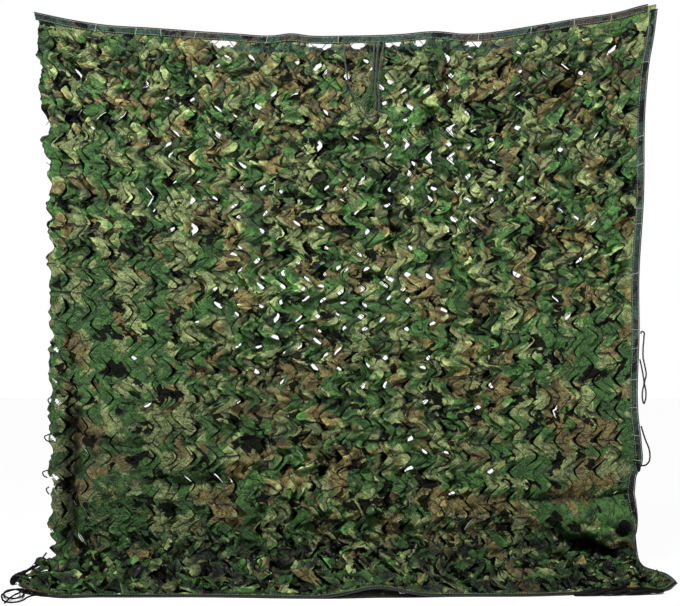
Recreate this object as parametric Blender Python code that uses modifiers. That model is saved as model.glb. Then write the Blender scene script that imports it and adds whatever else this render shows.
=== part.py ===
"""A camouflage net hung by its top corners, with its foot swept forward over the floor.

One slit cloth makes the net. A folded strip binds its top, its right side and its foot, a cord
runs round the outside of those three strips, and slack loops of cord hang from them. The left
side is unbound. The front faces -Y, +X is to the right and +Z is up. The origin is the middle of
the top edge, where the net is held up. Sizes are in metres.
"""

import math

import bmesh
import bpy
import numpy as np

# ---------------------------------------------------------------- driving sizes

DROP = 1.707  # height of the middle of the top edge above the floor
CLOTH_THICKNESS = 0.0012
CORD_DIAMETER = 0.004
EDGE_CORD_DIAMETER = 0.004
NET_CORD_DIAMETER = 0.003
GAP = 0.0003  # between pieces that touch

BINDING_WIDTH = 0.022
BINDING_THICKNESS = 0.0050
BINDING_WALL = 0.0009
BINDING_COVER = 0.0018  # how far the strip reaches past the cloth's edge

# The cloth's own edge lies inside the outline by the cord, the gap and the strip's cover.
EDGE_INSET = EDGE_CORD_DIAMETER + GAP + BINDING_COVER

SWEEP_HEIGHT = 0.110  # where the hung cloth starts to turn forward
HUNG_RUN = 1.600  # cloth from the top edge to there, at the middle
HELD_STRAIGHT = 0.15  # below the top edge, where folds and ripples reach their full depth

# ---------------------------------------------------------------- outline

# The top edge: x, and its height above its own middle.
TOP_OUTLINE = [
    (-1.000, 0.076),
    (-0.901, 0.054),
    (-0.779, 0.035),
    (-0.638, 0.026),
    (-0.371, 0.008),
    (-0.215, 0.002),
    (-0.182, 0.007),
    (-0.110, 0.000),
    (0.019, 0.000),
    (0.184, 0.005),
    (0.291, 0.014),
    (0.390, 0.006),
    (0.619, 0.033),
    (0.742, 0.054),
    (0.889, 0.078),
    (0.955, 0.097),
    (1.000, 0.106),
]

# The unbound left side: height, and x.
LEFT_OUTLINE = [
    (0.110, -0.957),
    (0.350, -0.957),
    (1.280, -0.964),
    (1.445, -0.979),
    (1.608, -0.984),
    (1.702, -0.994),
    (1.790, -1.000),
]
SCALLOP_DEPTH = 0.005
SCALLOP_PITCH = 0.170

# The bound right side: height, and x. It steps in at knee height.
RIGHT_OUTLINE = [
    (0.110, 0.926),
    (0.290, 0.931),
    (0.330, 0.948),
    (0.400, 0.948),
    (0.488, 0.938),
    (0.771, 0.941),
    (0.918, 0.940),
    (1.183, 0.955),
    (1.501, 0.962),
    (1.624, 0.974),
    (1.697, 0.987),
    (1.800, 1.000),
]

# The cloth on the floor: share of its run, share of the reach, and height above the floor.
SWEEP = [
    (0.00, 0.000, 0.110),
    (0.08, 0.020, 0.068),
    (0.16, 0.080, 0.036),
    (0.26, 0.190, 0.020),
    (0.45, 0.420, 0.014),
    (0.65, 0.640, 0.014),
    (0.85, 0.860, 0.007),
    (1.00, 1.000, 0.003),
]
# Its two sides: share of its run, x on the left, and x on the right.
FLOOR_SIDES = [
    (0.00, -0.957, 0.926),
    (0.25, -0.970, 0.940),
    (0.50, -1.000, 0.972),
    (0.75, -0.996, 0.998),
    (1.00, -0.945, 1.007),
]
# Its foot: share of the way from left to right, and reach in front of the hanging plane.
FOOT_REACH = [
    (0.000, 0.345),
    (0.041, 0.438),
    (0.124, 0.448),
    (0.278, 0.448),
    (0.422, 0.466),
    (0.545, 0.466),
    (0.638, 0.442),
    (0.766, 0.435),
    (0.869, 0.402),
    (0.945, 0.388),
    (0.975, 0.345),
    (1.000, 0.250),
]

# ---------------------------------------------------------------- folds

# Soft ridges of the hung cloth, and troughs where forward is less than nothing:
# x and height of one end, x and height of the other, half width, forward.
HUNG_FOLDS = [
    (-0.874, 0.760, -0.884, 0.450, 0.022, -0.012),
    (-0.884, 0.450, -0.890, 0.060, 0.024, -0.036),
    (-0.965, 0.800, -0.965, 0.100, 0.045, -0.018),
    (-0.800, 0.420, -0.800, 0.150, 0.070, 0.030),
    (-0.864, 0.434, -0.637, 0.386, 0.016, -0.009),
    (-0.637, 0.268, -0.365, 0.280, 0.018, -0.012),
    (-0.560, 0.330, -0.330, 0.330, 0.040, 0.010),
    (0.634, 0.226, 0.918, 0.239, 0.016, -0.012),
    (0.700, 0.165, 0.900, 0.160, 0.045, 0.044),
    (-0.643, 1.650, -0.640, 0.800, 0.020, -0.007),
    (0.322, 1.660, 0.320, 1.480, 0.016, -0.008),
    (0.675, 1.500, 0.670, 0.500, 0.020, -0.007),
    (-0.150, 1.500, -0.120, 0.500, 0.110, 0.012),
    (0.420, 1.300, 0.440, 0.300, 0.100, 0.012),
    (-0.300, 0.200, 0.350, 0.180, 0.070, 0.022),
]
# Broad ripples from side to side: wavelength, phase in turns, and forward.
RIPPLES = [
    (0.610, 0.10, 0.006),
    (0.337, 0.45, 0.004),
]

# Soft ridges of the cloth on the floor: x and reach of one end, x and reach of the other,
# half width, rise.
FLOOR_FOLDS = [
    (-0.950, 0.110, -0.600, 0.150, 0.030, 0.034),
    (-0.720, 0.250, -0.300, 0.210, 0.032, 0.036),
    (-0.350, 0.105, 0.050, 0.135, 0.030, 0.034),
    (-0.150, 0.290, 0.240, 0.320, 0.032, 0.030),
    (0.100, 0.190, 0.500, 0.150, 0.030, 0.036),
    (0.450, 0.280, 0.850, 0.230, 0.032, 0.040),
    (0.640, 0.110, 0.860, 0.125, 0.030, 0.026),
    (-0.920, 0.290, -0.550, 0.350, 0.026, 0.024),
    (0.250, 0.370, 0.620, 0.340, 0.026, 0.022),
    (0.840, 0.170, 0.890, 0.160, 0.026, 0.018),
]
FOLDS_FADE = 0.25  # share of the run over which these folds die out before the foot
# Where the foot arches clear of the floor: x of its middle, half width, rise.
FOOT_ARCH = (0.092, 0.100, 0.028)
ARCH_START = 0.60  # share of the run where the arch starts to rise
ARCH_FULL = 0.90  # and where it is at its full height

# ---------------------------------------------------------------- slits

SLIT_COLUMNS = 28  # across the cloth
SLIT_ROW = 0.0455  # between rows of slits, which point right and left in turn
FIRST_SLIT_ROW = 0.080  # below the top edge

# The widest slits, which stand open as holes: column and row.
OPEN_SLITS = [
    (7, 12),
    (13, 6),
    (17, 6),
    (18, 7),
    (19, 5),
    (19, 7),
]
HOLE_WIDTH = 0.022
HOLE_HEIGHT = 0.034
CUT_DEPTH = 0.080  # of the cutting shapes, from front to back
CUT_OVERLAP = 0.004  # how far they reach above the cloth's top edge

# The places where the cloth hangs away from its top strip: x of the middle, width, depth.
TOP_GAPS = [
    (-0.392, 0.085, 0.017),
    (-0.083, 0.080, 0.017),
    (0.040, 0.050, 0.016),
    (0.152, 0.050, 0.016),
    (0.237, 0.040, 0.014),
    (0.408, 0.055, 0.016),
]

# ---------------------------------------------------------------- cord routes

# Each route is its points in turn: x, forward of the hanging plane, height above the floor.
FRONT_LOOP = [
    (0.110, 0.0050, 1.692),
    (0.108, 0.0055, 1.683),
    (0.103, 0.014, 1.664),
    (0.098, 0.020, 1.625),
    (0.095, 0.021, 1.573),
    (0.092, 0.022, 1.532),
    (0.096, 0.022, 1.492),
    (0.088, 0.022, 1.463),
    (0.073, 0.022, 1.452),
    (0.060, 0.022, 1.464),
    (0.061, 0.022, 1.494),
    (0.072, 0.023, 1.528),
    (0.084, 0.024, 1.568),
    (0.087, 0.022, 1.620),
    (0.090, 0.014, 1.664),
    (0.091, 0.0055, 1.683),
    (0.091, 0.0050, 1.692),
]
FRONT_SWAG = [
    (-0.010, 0.0050, 1.692),
    (-0.009, 0.0055, 1.683),
    (-0.006, 0.014, 1.662),
    (0.000, 0.018, 1.600),
    (0.012, 0.020, 1.541),
    (0.036, 0.028, 1.486),
    (0.055, 0.029, 1.452),
    (0.078, 0.029, 1.441),
    (0.101, 0.029, 1.458),
    (0.105, 0.029, 1.500),
    (0.104, 0.029, 1.560),
    (0.111, 0.026, 1.620),
    (0.119, 0.014, 1.662),
    (0.121, 0.0055, 1.683),
    (0.121, 0.0050, 1.692),
]
UPPER_SIDE_LOOP = [
    (0.9434, -0.0006, 0.7520),
    (0.9470, 0.001, 0.7590),
    (0.9530, 0.003, 0.7570),
    (0.9530, 0.005, 0.7400),
    (0.9500, 0.006, 0.7000),
    (0.9500, 0.007, 0.6770),
    (0.9560, 0.006, 0.6480),
    (0.9605, 0.004, 0.6200),
    (0.9560, 0.000, 0.5940),
    (0.9610, -0.003, 0.5680),
    (0.9590, -0.003, 0.5380),
    (0.9545, -0.002, 0.5270),
    (0.9500, 0.000, 0.5400),
    (0.9490, 0.003, 0.5680),
    (0.9530, 0.007, 0.5930),
    (0.9500, 0.006, 0.6200),
    (0.9460, 0.000, 0.6480),
    (0.9411, -0.0006, 0.6700),
]
LOWER_SIDE_LOOP = [
    (0.9452, -0.0007, 0.4560),
    (0.9510, 0.002, 0.4350),
    (0.9600, 0.003, 0.4080),
    (0.9690, 0.005, 0.3850),
    (0.9720, 0.007, 0.3630),
    (0.9680, 0.010, 0.3430),
    (0.9560, 0.012, 0.3320),
    (0.9420, 0.011, 0.3310),
    (0.9300, 0.0045, 0.3370),
]
# The spare end of the foot's cord, laid in loops on the floor beyond its left corner.
SPARE_END = [
    (-0.8799, 0.4266, 0.0026),
    (-0.890, 0.421, 0.0025),
    (-0.906, 0.424, 0.0024),
    (-0.919, 0.447, 0.0022),
    (-0.924, 0.490, 0.0022),
    (-0.934, 0.513, 0.0022),
    (-0.952, 0.521, 0.0022),
    (-0.972, 0.505, 0.0022),
    (-0.990, 0.462, 0.0022),
    (-1.001, 0.415, 0.0022),
    (-0.996, 0.372, 0.0022),
    (-0.978, 0.342, 0.0030),
    (-0.958, 0.352, 0.0060),
    (-0.944, 0.392, 0.0060),
    (-0.934, 0.440, 0.0068),
    (-0.937, 0.478, 0.0068),
    (-0.953, 0.490, 0.0068),
    (-0.976, 0.470, 0.0068),
    (-0.992, 0.432, 0.0076),
    (-0.990, 0.400, 0.0110),
    (-0.972, 0.384, 0.0112),
    (-0.955, 0.400, 0.0114),
    (-0.948, 0.436, 0.0110),
    (-0.955, 0.466, 0.0112),
    (-0.962, 0.500, 0.0070),
    (-0.966, 0.532, 0.0030),
]
# The support net's own border, where it shows past the cloth at the left corner.
CORNER_BORDER = [
    (-0.9737, 0.0434, 0.0239),
    (-0.990, 0.049, 0.0140),
    (-1.008, 0.061, 0.0060),
    (-1.024, 0.085, 0.0024),
    (-1.031, 0.125, 0.0019),
    (-1.029, 0.170, 0.0018),
    (-1.021, 0.220, 0.0018),
    (-1.011, 0.258, 0.0022),
    (-1.003, 0.279, 0.0045),
    (-0.994, 0.289, 0.0072),
    (-0.9868, 0.288, 0.0083),
]

# ---------------------------------------------------------------- modelling grid

# The grid's outermost row or column at a bound edge is as deep as the strip covers it.
BOUND = BINDING_WIDTH - 0.0005
# Columns of the cloth's grid: start and end as shares of the width, and how many between them.
COLUMN_BANDS = [
    (0.00, 0.06, 5),
    (0.06, 0.94, 20),
    (0.94, 0.985, 3),
    (0.985, 1.00, 1),
]
# Rows of the cloth's grid: start and end of its way down, and how many between them.
ROW_BANDS = [
    (0.00, 0.03, 1),
    (0.03, 1.00, 20),
    (1.00, 1.84, 10),
    (1.84, 1.90, 1),
    (1.90, 2.00, 1),
]
FOOT_STRIP_START = 3  # the column where the foot's strip starts, in from the unbound side

CORD_POINT_SPACING = 3  # cord diameters from one point of a cord's line to the next
CORD_SIDES = 2  # bevel resolution of a cord
FINE_STEPS = 40  # steps of a route's curve for each of its own points, before it is evened out

# ---------------------------------------------------------------- materials

# Colour, roughness and metallic value of each sub-part.
COLOURS = {
    "leaf_cloth": (0.085, 0.150, 0.050),
    "binding": (0.050, 0.120, 0.085),
    "edge_cord": (0.018, 0.022, 0.018),
    "slack_cord": (0.035, 0.045, 0.035),
    "net_cord": (0.010, 0.010, 0.010),
}
CLOTH_ROUGHNESS = 0.7


# ---------------------------------------------------------------- reading the tables and lines


def read(table, place, column=1):
    """Reads a column of a table at a place along its first column, on a smooth curve."""
    rows = np.array([(row[0], row[column]) for row in table])
    keys, values = rows[:, 0], rows[:, 1]
    slopes = np.gradient(values, keys)
    place = np.clip(place, keys[0], keys[-1])
    left = np.clip(np.searchsorted(keys, place) - 1, 0, len(keys) - 2)
    span = keys[left + 1] - keys[left]
    s = (place - keys[left]) / span
    start = values[left] * (1 + 2 * s) * (1 - s) ** 2 + slopes[left] * span * s * (1 - s) ** 2
    end = values[left + 1] * s**2 * (3 - 2 * s) - slopes[left + 1] * span * s**2 * (1 - s)
    return start + end


def unit(vectors):
    return vectors / np.linalg.norm(vectors, axis=-1, keepdims=True)


def ridge(x, y, x0, y0, x1, y1, half_width):
    """A soft ridge of height 1 along the line from one point to another."""
    length_squared = (x1 - x0) ** 2 + (y1 - y0) ** 2
    share = np.clip(((x - x0) * (x1 - x0) + (y - y0) * (y1 - y0)) / length_squared, 0, 1)
    away = np.hypot(x - x0 - share * (x1 - x0), y - y0 - share * (y1 - y0))
    return np.exp(-((away / half_width) ** 2))


# ---------------------------------------------------------------- the cloth's surface


def left_side(height):
    scallop = SCALLOP_DEPTH * np.sin(2 * math.pi * height / SCALLOP_PITCH)
    return read(LEFT_OUTLINE, height) + scallop


def right_side(height):
    return read(RIGHT_OUTLINE, height) - EDGE_INSET


def top_height(x):
    return DROP + read(TOP_OUTLINE, x) - EDGE_INSET


def hung_forward(x, height):
    """How far the hung cloth stands in front of the hanging plane."""
    forward = sum(
        wave_forward * np.sin(2 * math.pi * (x / wavelength + phase))
        for wavelength, phase, wave_forward in RIPPLES
    )
    for x0, height0, x1, height1, half_width, fold_forward in HUNG_FOLDS:
        forward = forward + fold_forward * ridge(x, height, x0, height0, x1, height1, half_width)
    # The top edge is held straight.
    below_top = np.clip((top_height(x) - height) / HELD_STRAIGHT, 0, 1)
    return forward * below_top


def surface(across, down):
    """The cloth's middle surface: across runs 0 to 1 from left to right, and down runs 0 to 1
    from the top edge to the sweep and 1 to 2 from there to the foot."""
    across, down = np.broadcast_arrays(np.asarray(across, float), np.asarray(down, float))
    hung, floor = np.clip(down, 0, 1), np.clip(down - 1, 0, 1)
    top = top_height(-1 + 2 * across)
    hung_height = top + (SWEEP_HEIGHT - top) * hung
    hung_x = left_side(hung_height) * (1 - across) + right_side(hung_height) * across
    left = read(FLOOR_SIDES, floor, 1) + left_side(SWEEP_HEIGHT) - FLOOR_SIDES[0][1]
    right = read(FLOOR_SIDES, floor, 2) - EDGE_INSET
    x = np.where(down <= 1, hung_x, left * (1 - across) + right * across)

    reach = read(FOOT_REACH, across) - EDGE_INSET
    swept = read(SWEEP, floor, 1) * reach
    forward = hung_forward(x, hung_height) * (1 - floor) ** 3 + swept
    rise = 0
    for x0, reach0, x1, reach1, half_width, fold_rise in FLOOR_FOLDS:
        rise = rise + fold_rise * ridge(x, swept, x0, reach0, x1, reach1, half_width)
    fade = np.clip((1 - floor) / FOLDS_FADE, 0, 1)
    fade = fade**2 * (3 - 2 * fade)
    middle, half_width, arch_rise = FOOT_ARCH
    near_foot = np.clip((floor - ARCH_START) / (ARCH_FULL - ARCH_START), 0, 1)
    arch = arch_rise * np.exp(-(((x - middle) / half_width) ** 2)) * near_foot**2
    height = np.where(down <= 1, hung_height, read(SWEEP, floor, 2) + rise * fade + arch)
    return np.stack([x, -forward, height - DROP], axis=-1)


def stations(bands):
    parts = [np.linspace(start, end, count + 1)[:-1] for start, end, count in bands]
    return np.append(np.concatenate(parts), bands[-1][1])


def cloth_grid():
    """The surface's points, in rows from the top edge to the foot. The lines next to the bound
    edges are moved to where the strips end."""
    grid = surface(stations(COLUMN_BANDS)[None, :], stations(ROW_BANDS)[:, None])
    grid[:, -2] = grid[:, -1] + unit(grid[:, -2] - grid[:, -1]) * BOUND
    grid[1] = grid[0] + unit(grid[1] - grid[0]) * BOUND
    grid[-2] = grid[-1] + unit(grid[-2] - grid[-1]) * BOUND
    return grid


# ---------------------------------------------------------------- helpers


def start_empty():
    for scene_object in list(bpy.data.objects):
        bpy.data.objects.remove(scene_object, do_unlink=True)


def new_collection(name):
    collection = bpy.data.collections.new(name)
    bpy.context.scene.collection.children.link(collection)
    return collection


def material(name):
    made = bpy.data.materials.get(name)
    if made is None:
        made = bpy.data.materials.new(name)
        made.use_nodes = True
        shader = made.node_tree.nodes["Principled BSDF"]
        shader.inputs["Base Color"].default_value = (*COLOURS[name], 1)
        shader.inputs["Roughness"].default_value = CLOTH_ROUGHNESS
        shader.inputs["Metallic"].default_value = 0
    return made


def add_object(name, data, collection, material_name):
    made = bpy.data.objects.new(name, data)
    collection.objects.link(made)
    data.materials.append(material(material_name))
    return made


def bisectors(points):
    """The way that a line of points runs at each point, and the cosine of half its turn there."""
    steps = unit(np.diff(points, axis=0))
    before, after = np.vstack([steps[:1], steps]), np.vstack([steps, steps[-1:]])
    along = unit(before + after)
    return along, np.sum(along * after, axis=1, keepdims=True)


def smooth_route(points, diameter):
    """Points on a smooth curve through a route's own points, a few diameters apart."""
    route = np.array([(x, -forward, height - DROP) for x, forward, height in points])
    steps = np.linalg.norm(np.diff(route, axis=0), axis=1)
    places = np.append(0, np.cumsum(steps))
    keyed = np.column_stack([places, route])
    fine = np.linspace(0, places[-1], FINE_STEPS * len(points))
    curve = np.stack([read(keyed, fine, column) for column in (1, 2, 3)], axis=-1)
    along = np.append(0, np.cumsum(np.linalg.norm(np.diff(curve, axis=0), axis=1)))
    count = round(along[-1] / (CORD_POINT_SPACING * diameter)) + 1
    even = np.linspace(0, along[-1], count)
    return np.stack([np.interp(even, along, curve[:, axis]) for axis in range(3)], axis=-1)


def add_tube(name, points, diameter, collection, material_name):
    curve = bpy.data.curves.new(name, "CURVE")
    curve.dimensions = "3D"
    curve.bevel_depth = diameter / 2
    curve.bevel_resolution = CORD_SIDES
    curve.use_fill_caps = True
    spline = curve.splines.new("POLY")
    spline.points.add(len(points) - 1)
    for spline_point, point in zip(spline.points, points):
        spline_point.co = (*point, 1)
    spline.use_smooth = True
    return add_object(name, curve, collection, material_name)


def loft(name, sections, collection, material_name):
    """A closed strip through sections that all have the same number of corners."""
    shape = bmesh.new()
    rings = [[shape.verts.new(corner) for corner in section] for section in sections]
    for ring, following in zip(rings, rings[1:]):
        for corner in range(len(ring)):
            beside = (corner + 1) % len(ring)
            shape.faces.new((ring[corner], ring[beside], following[beside], following[corner]))
    shape.faces.new(rings[0][::-1])
    shape.faces.new(rings[-1])
    bmesh.ops.recalc_face_normals(shape, faces=shape.faces)
    mesh = bpy.data.meshes.new(name)
    shape.to_mesh(mesh)
    shape.free()
    return add_object(name, mesh, collection, material_name)


# ---------------------------------------------------------------- the net's pieces


def add_cloth(grid, collection):
    rows, columns = grid.shape[:2]
    shape = bmesh.new()
    bmesh.ops.create_grid(shape, x_segments=columns - 1, y_segments=rows - 1, size=1)
    shape.verts.ensure_lookup_table()
    for vert, place in zip(shape.verts, grid.reshape(-1, 3)):
        vert.co = place
    mesh = bpy.data.meshes.new("leaf_cloth")
    shape.to_mesh(mesh)
    shape.free()
    cloth = add_object("leaf_cloth", mesh, collection, "leaf_cloth")
    solidify = cloth.modifiers.new("thickness", "SOLIDIFY")
    solidify.thickness = CLOTH_THICKNESS
    solidify.offset = 0
    return cloth


def add_binding(name, edge, inner, collection):
    """A strip folded over an edge of the cloth: edge and inner are the grid's last two lines of
    points there. Its section is a hairpin, open towards the cloth. Returns where the middle of
    the outer side runs, and which way is out."""
    half = BINDING_THICKNESS / 2
    slot = half - BINDING_WALL
    mouth = BINDING_COVER - BINDING_WIDTH
    floor_of_slot = BINDING_COVER - BINDING_WALL
    hairpin = [
        (mouth, half),
        (BINDING_COVER, half),
        (BINDING_COVER, -half),
        (mouth, -half),
        (mouth, -slot),
        (floor_of_slot, -slot),
        (floor_of_slot, slot),
        (mouth, slot),
    ]
    out = unit(edge - inner)
    normal = unit(np.cross(bisectors(edge)[0], out))
    sections = [
        [point + outward * reach + facing * side for reach, side in hairpin]
        for point, outward, facing in zip(edge, out, normal)
    ]
    loft(name, sections, collection, "binding")
    return edge + out * BINDING_COVER, normal


def add_edge_cord(name, outer_side, normal, collection):
    """A cord along a strip's outer side, set out so that its bends clear the strip's."""
    along, half_turn = bisectors(outer_side)
    square_out = unit(np.cross(along, normal))
    distance = (2 * GAP + EDGE_CORD_DIAMETER / 2) / half_turn
    add_tube(name, outer_side - square_out * distance, EDGE_CORD_DIAMETER, collection, "edge_cord")


def add_cutters(collection):
    """Boxes for the gaps under the top strip and six-sided bars for the open slits."""
    cutters = []
    for index, (middle, width, depth) in enumerate(TOP_GAPS):
        edge = float(top_height(middle)) - DROP
        strip_foot = edge + BINDING_COVER - BINDING_WIDTH
        top, bottom = edge + CUT_OVERLAP, strip_foot - depth
        bpy.ops.mesh.primitive_cube_add(size=1, location=(middle, 0, (top + bottom) / 2))
        cutter = bpy.context.object
        cutter.name = f"top_gap_{index + 1}"
        cutter.scale = (width, CUT_DEPTH, top - bottom)
        cutters.append(cutter)
    for index, (column, row) in enumerate(OPEN_SLITS):
        down = (FIRST_SLIT_ROW + row * SLIT_ROW) / HUNG_RUN
        place = surface(column / SLIT_COLUMNS, down)
        bpy.ops.mesh.primitive_cylinder_add(
            vertices=6, radius=0.5, depth=1, location=place, rotation=(math.pi / 2, 0, 0)
        )
        cutter = bpy.context.object
        cutter.name = f"open_slit_{index + 1}"
        cutter.scale = (HOLE_WIDTH, HOLE_HEIGHT, CUT_DEPTH)
        cutters.append(cutter)
    for cutter in cutters:
        cutter.hide_render = True
        cutter.display_type = "WIRE"
        for holder in list(cutter.users_collection):
            holder.objects.unlink(cutter)
        collection.objects.link(cutter)


def cut(target, cutters):
    boolean = target.modifiers.new("gaps and open slits", "BOOLEAN")
    boolean.operation = "DIFFERENCE"
    boolean.solver = "EXACT"
    boolean.operand_type = "COLLECTION"
    boolean.collection = cutters


def add_slack_cords(collection):
    routes = {
        "front_loop": FRONT_LOOP,
        "front_swag": FRONT_SWAG,
        "upper_side_loop": UPPER_SIDE_LOOP,
        "lower_side_loop": LOWER_SIDE_LOOP,
        "spare_end": SPARE_END,
    }
    for name, route in routes.items():
        points = smooth_route(route, CORD_DIAMETER)
        add_tube(name, points, CORD_DIAMETER, collection, "slack_cord")
    points = smooth_route(CORNER_BORDER, NET_CORD_DIAMETER)
    add_tube("corner_border", points, NET_CORD_DIAMETER, collection, "net_cord")


def main():
    start_empty()
    net = new_collection("camouflage_net")
    guides = new_collection("cutters")

    grid = cloth_grid()
    cloth = add_cloth(grid, net)
    add_cutters(guides)
    cut(cloth, guides)

    # The top strip stops short of the right one, and that one of the foot's.
    top_side = add_binding("top_binding", grid[0, :-1], grid[1, :-1], net)
    right_side_strip = add_binding("right_binding", grid[1:-1, -1], grid[1:-1, -2], net)
    foot = grid[:, FOOT_STRIP_START:]
    foot_side = add_binding("foot_binding", foot[-1], foot[-2], net)
    add_edge_cord("top_cord", *top_side, net)
    add_edge_cord("right_cord", *right_side_strip, net)
    add_edge_cord("foot_cord", *foot_side, net)

    add_slack_cords(net)


main()
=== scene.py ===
"""The looks of the camouflage net: its slit cloth, string net, bound edges and cords."""

import math

import bpy
import numpy as np
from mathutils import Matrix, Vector


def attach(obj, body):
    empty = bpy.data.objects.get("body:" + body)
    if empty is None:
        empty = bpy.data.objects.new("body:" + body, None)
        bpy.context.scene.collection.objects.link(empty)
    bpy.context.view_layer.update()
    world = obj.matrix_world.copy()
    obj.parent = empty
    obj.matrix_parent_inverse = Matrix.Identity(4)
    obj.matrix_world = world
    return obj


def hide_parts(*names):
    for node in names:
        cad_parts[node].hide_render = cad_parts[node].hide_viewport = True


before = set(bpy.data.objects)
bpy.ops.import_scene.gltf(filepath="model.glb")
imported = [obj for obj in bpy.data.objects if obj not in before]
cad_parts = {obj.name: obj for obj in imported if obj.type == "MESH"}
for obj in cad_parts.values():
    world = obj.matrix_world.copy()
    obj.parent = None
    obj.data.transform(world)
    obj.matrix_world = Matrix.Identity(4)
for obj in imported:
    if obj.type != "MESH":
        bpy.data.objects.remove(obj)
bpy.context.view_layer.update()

# ---------------------------------------------------------------- camera

CAMERA_PLACE = (-0.019, -4.5, -0.857)
CAMERA_LENS = 74.4

camera_data = bpy.data.cameras.new("camera")
camera_data.lens = CAMERA_LENS
camera_data.sensor_width = 36
camera = bpy.data.objects.new("camera", camera_data)
camera.location = CAMERA_PLACE
camera.rotation_euler = (math.pi / 2, 0, 0)
bpy.context.scene.collection.objects.link(camera)
bpy.context.scene.camera = camera


# ---------------------------------------------------------------- sizes, the same as the solid part's

DROP = 1.707  # height of the middle of the top edge above the floor
CORD_DIAMETER = 0.004
EDGE_CORD_DIAMETER = 0.004
NET_CORD_DIAMETER = 0.003
GAP = 0.0003  # between pieces that touch

BINDING_WIDTH = 0.022
BINDING_COVER = 0.0018  # how far the strip reaches past the cloth's edge

# The cloth's own edge lies inside the outline by the cord, the gap and the strip's cover.
EDGE_INSET = EDGE_CORD_DIAMETER + GAP + BINDING_COVER

SWEEP_HEIGHT = 0.110  # where the hung cloth starts to turn forward
HUNG_RUN = 1.600  # cloth from the top edge to there, at the middle
HELD_STRAIGHT = 0.15  # below the top edge, where folds and ripples reach their full depth

# ---------------------------------------------------------------- outline

# The top edge: x, and its height above its own middle.
TOP_OUTLINE = [
    (-1.000, 0.076),
    (-0.901, 0.054),
    (-0.779, 0.035),
    (-0.638, 0.026),
    (-0.371, 0.008),
    (-0.215, 0.002),
    (-0.182, 0.007),
    (-0.110, 0.000),
    (0.019, 0.000),
    (0.184, 0.005),
    (0.291, 0.014),
    (0.390, 0.006),
    (0.619, 0.033),
    (0.742, 0.054),
    (0.889, 0.078),
    (0.955, 0.097),
    (1.000, 0.106),
]

# The unbound left side: height, and x.
LEFT_OUTLINE = [
    (0.110, -0.957),
    (0.350, -0.957),
    (1.280, -0.964),
    (1.445, -0.979),
    (1.608, -0.984),
    (1.702, -0.994),
    (1.790, -1.000),
]
SCALLOP_DEPTH = 0.005
SCALLOP_PITCH = 0.170

# The bound right side: height, and x. It steps in at knee height.
RIGHT_OUTLINE = [
    (0.110, 0.929),
    (0.200, 0.929),
    (0.270, 0.928),
    (0.295, 0.931),
    (0.330, 0.948),
    (0.400, 0.948),
    (0.488, 0.938),
    (0.771, 0.941),
    (0.918, 0.940),
    (1.183, 0.955),
    (1.501, 0.962),
    (1.624, 0.974),
    (1.697, 0.987),
    (1.800, 1.000),
]

# The cloth on the floor: share of its run, share of the reach, and height above the floor.
SWEEP = [
    (0.00, 0.000, 0.110),
    (0.08, 0.020, 0.068),
    (0.16, 0.080, 0.036),
    (0.26, 0.190, 0.020),
    (0.45, 0.420, 0.014),
    (0.65, 0.640, 0.014),
    (0.85, 0.860, 0.007),
    (1.00, 1.000, 0.003),
]
# Its two sides: share of its run, x on the left, and x on the right.
FLOOR_SIDES = [
    (0.00, -0.957, 0.926),
    (0.25, -0.970, 0.940),
    (0.50, -1.000, 0.972),
    (0.75, -0.996, 0.998),
    (1.00, -0.945, 1.007),
]
# Its foot: share of the way from left to right, and reach in front of the hanging plane.
FOOT_REACH = [
    (0.000, 0.345),
    (0.041, 0.438),
    (0.124, 0.448),
    (0.278, 0.448),
    (0.422, 0.466),
    (0.545, 0.466),
    (0.638, 0.442),
    (0.766, 0.435),
    (0.869, 0.402),
    (0.945, 0.388),
    (0.975, 0.345),
    (1.000, 0.250),
]

# ---------------------------------------------------------------- folds

# Soft ridges of the hung cloth, and troughs where forward is less than nothing:
# x and height of one end, x and height of the other, half width, forward.
HUNG_FOLDS = [
    (-0.874, 0.760, -0.884, 0.450, 0.022, -0.012),
    (-0.884, 0.450, -0.890, 0.060, 0.024, -0.036),
    (-0.965, 0.800, -0.965, 0.100, 0.045, -0.018),
    (-0.800, 0.420, -0.800, 0.150, 0.070, 0.030),
    (-0.864, 0.434, -0.637, 0.386, 0.016, -0.009),
    (-0.637, 0.268, -0.365, 0.280, 0.018, -0.012),
    (-0.560, 0.330, -0.330, 0.330, 0.040, 0.010),
    (0.634, 0.226, 0.918, 0.239, 0.016, -0.012),
    (0.700, 0.165, 0.900, 0.160, 0.045, 0.044),
    (-0.643, 1.650, -0.640, 0.800, 0.020, -0.007),
    (0.322, 1.660, 0.320, 1.480, 0.016, -0.008),
    (0.675, 1.500, 0.670, 0.500, 0.020, -0.007),
    (-0.150, 1.500, -0.120, 0.500, 0.110, 0.012),
    (0.420, 1.300, 0.440, 0.300, 0.100, 0.012),
    (-0.300, 0.200, 0.350, 0.180, 0.070, 0.022),
]
# Broad ripples from side to side: wavelength, phase in turns, and forward.
RIPPLES = [
    (0.610, 0.10, 0.006),
    (0.337, 0.45, 0.004),
]

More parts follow.
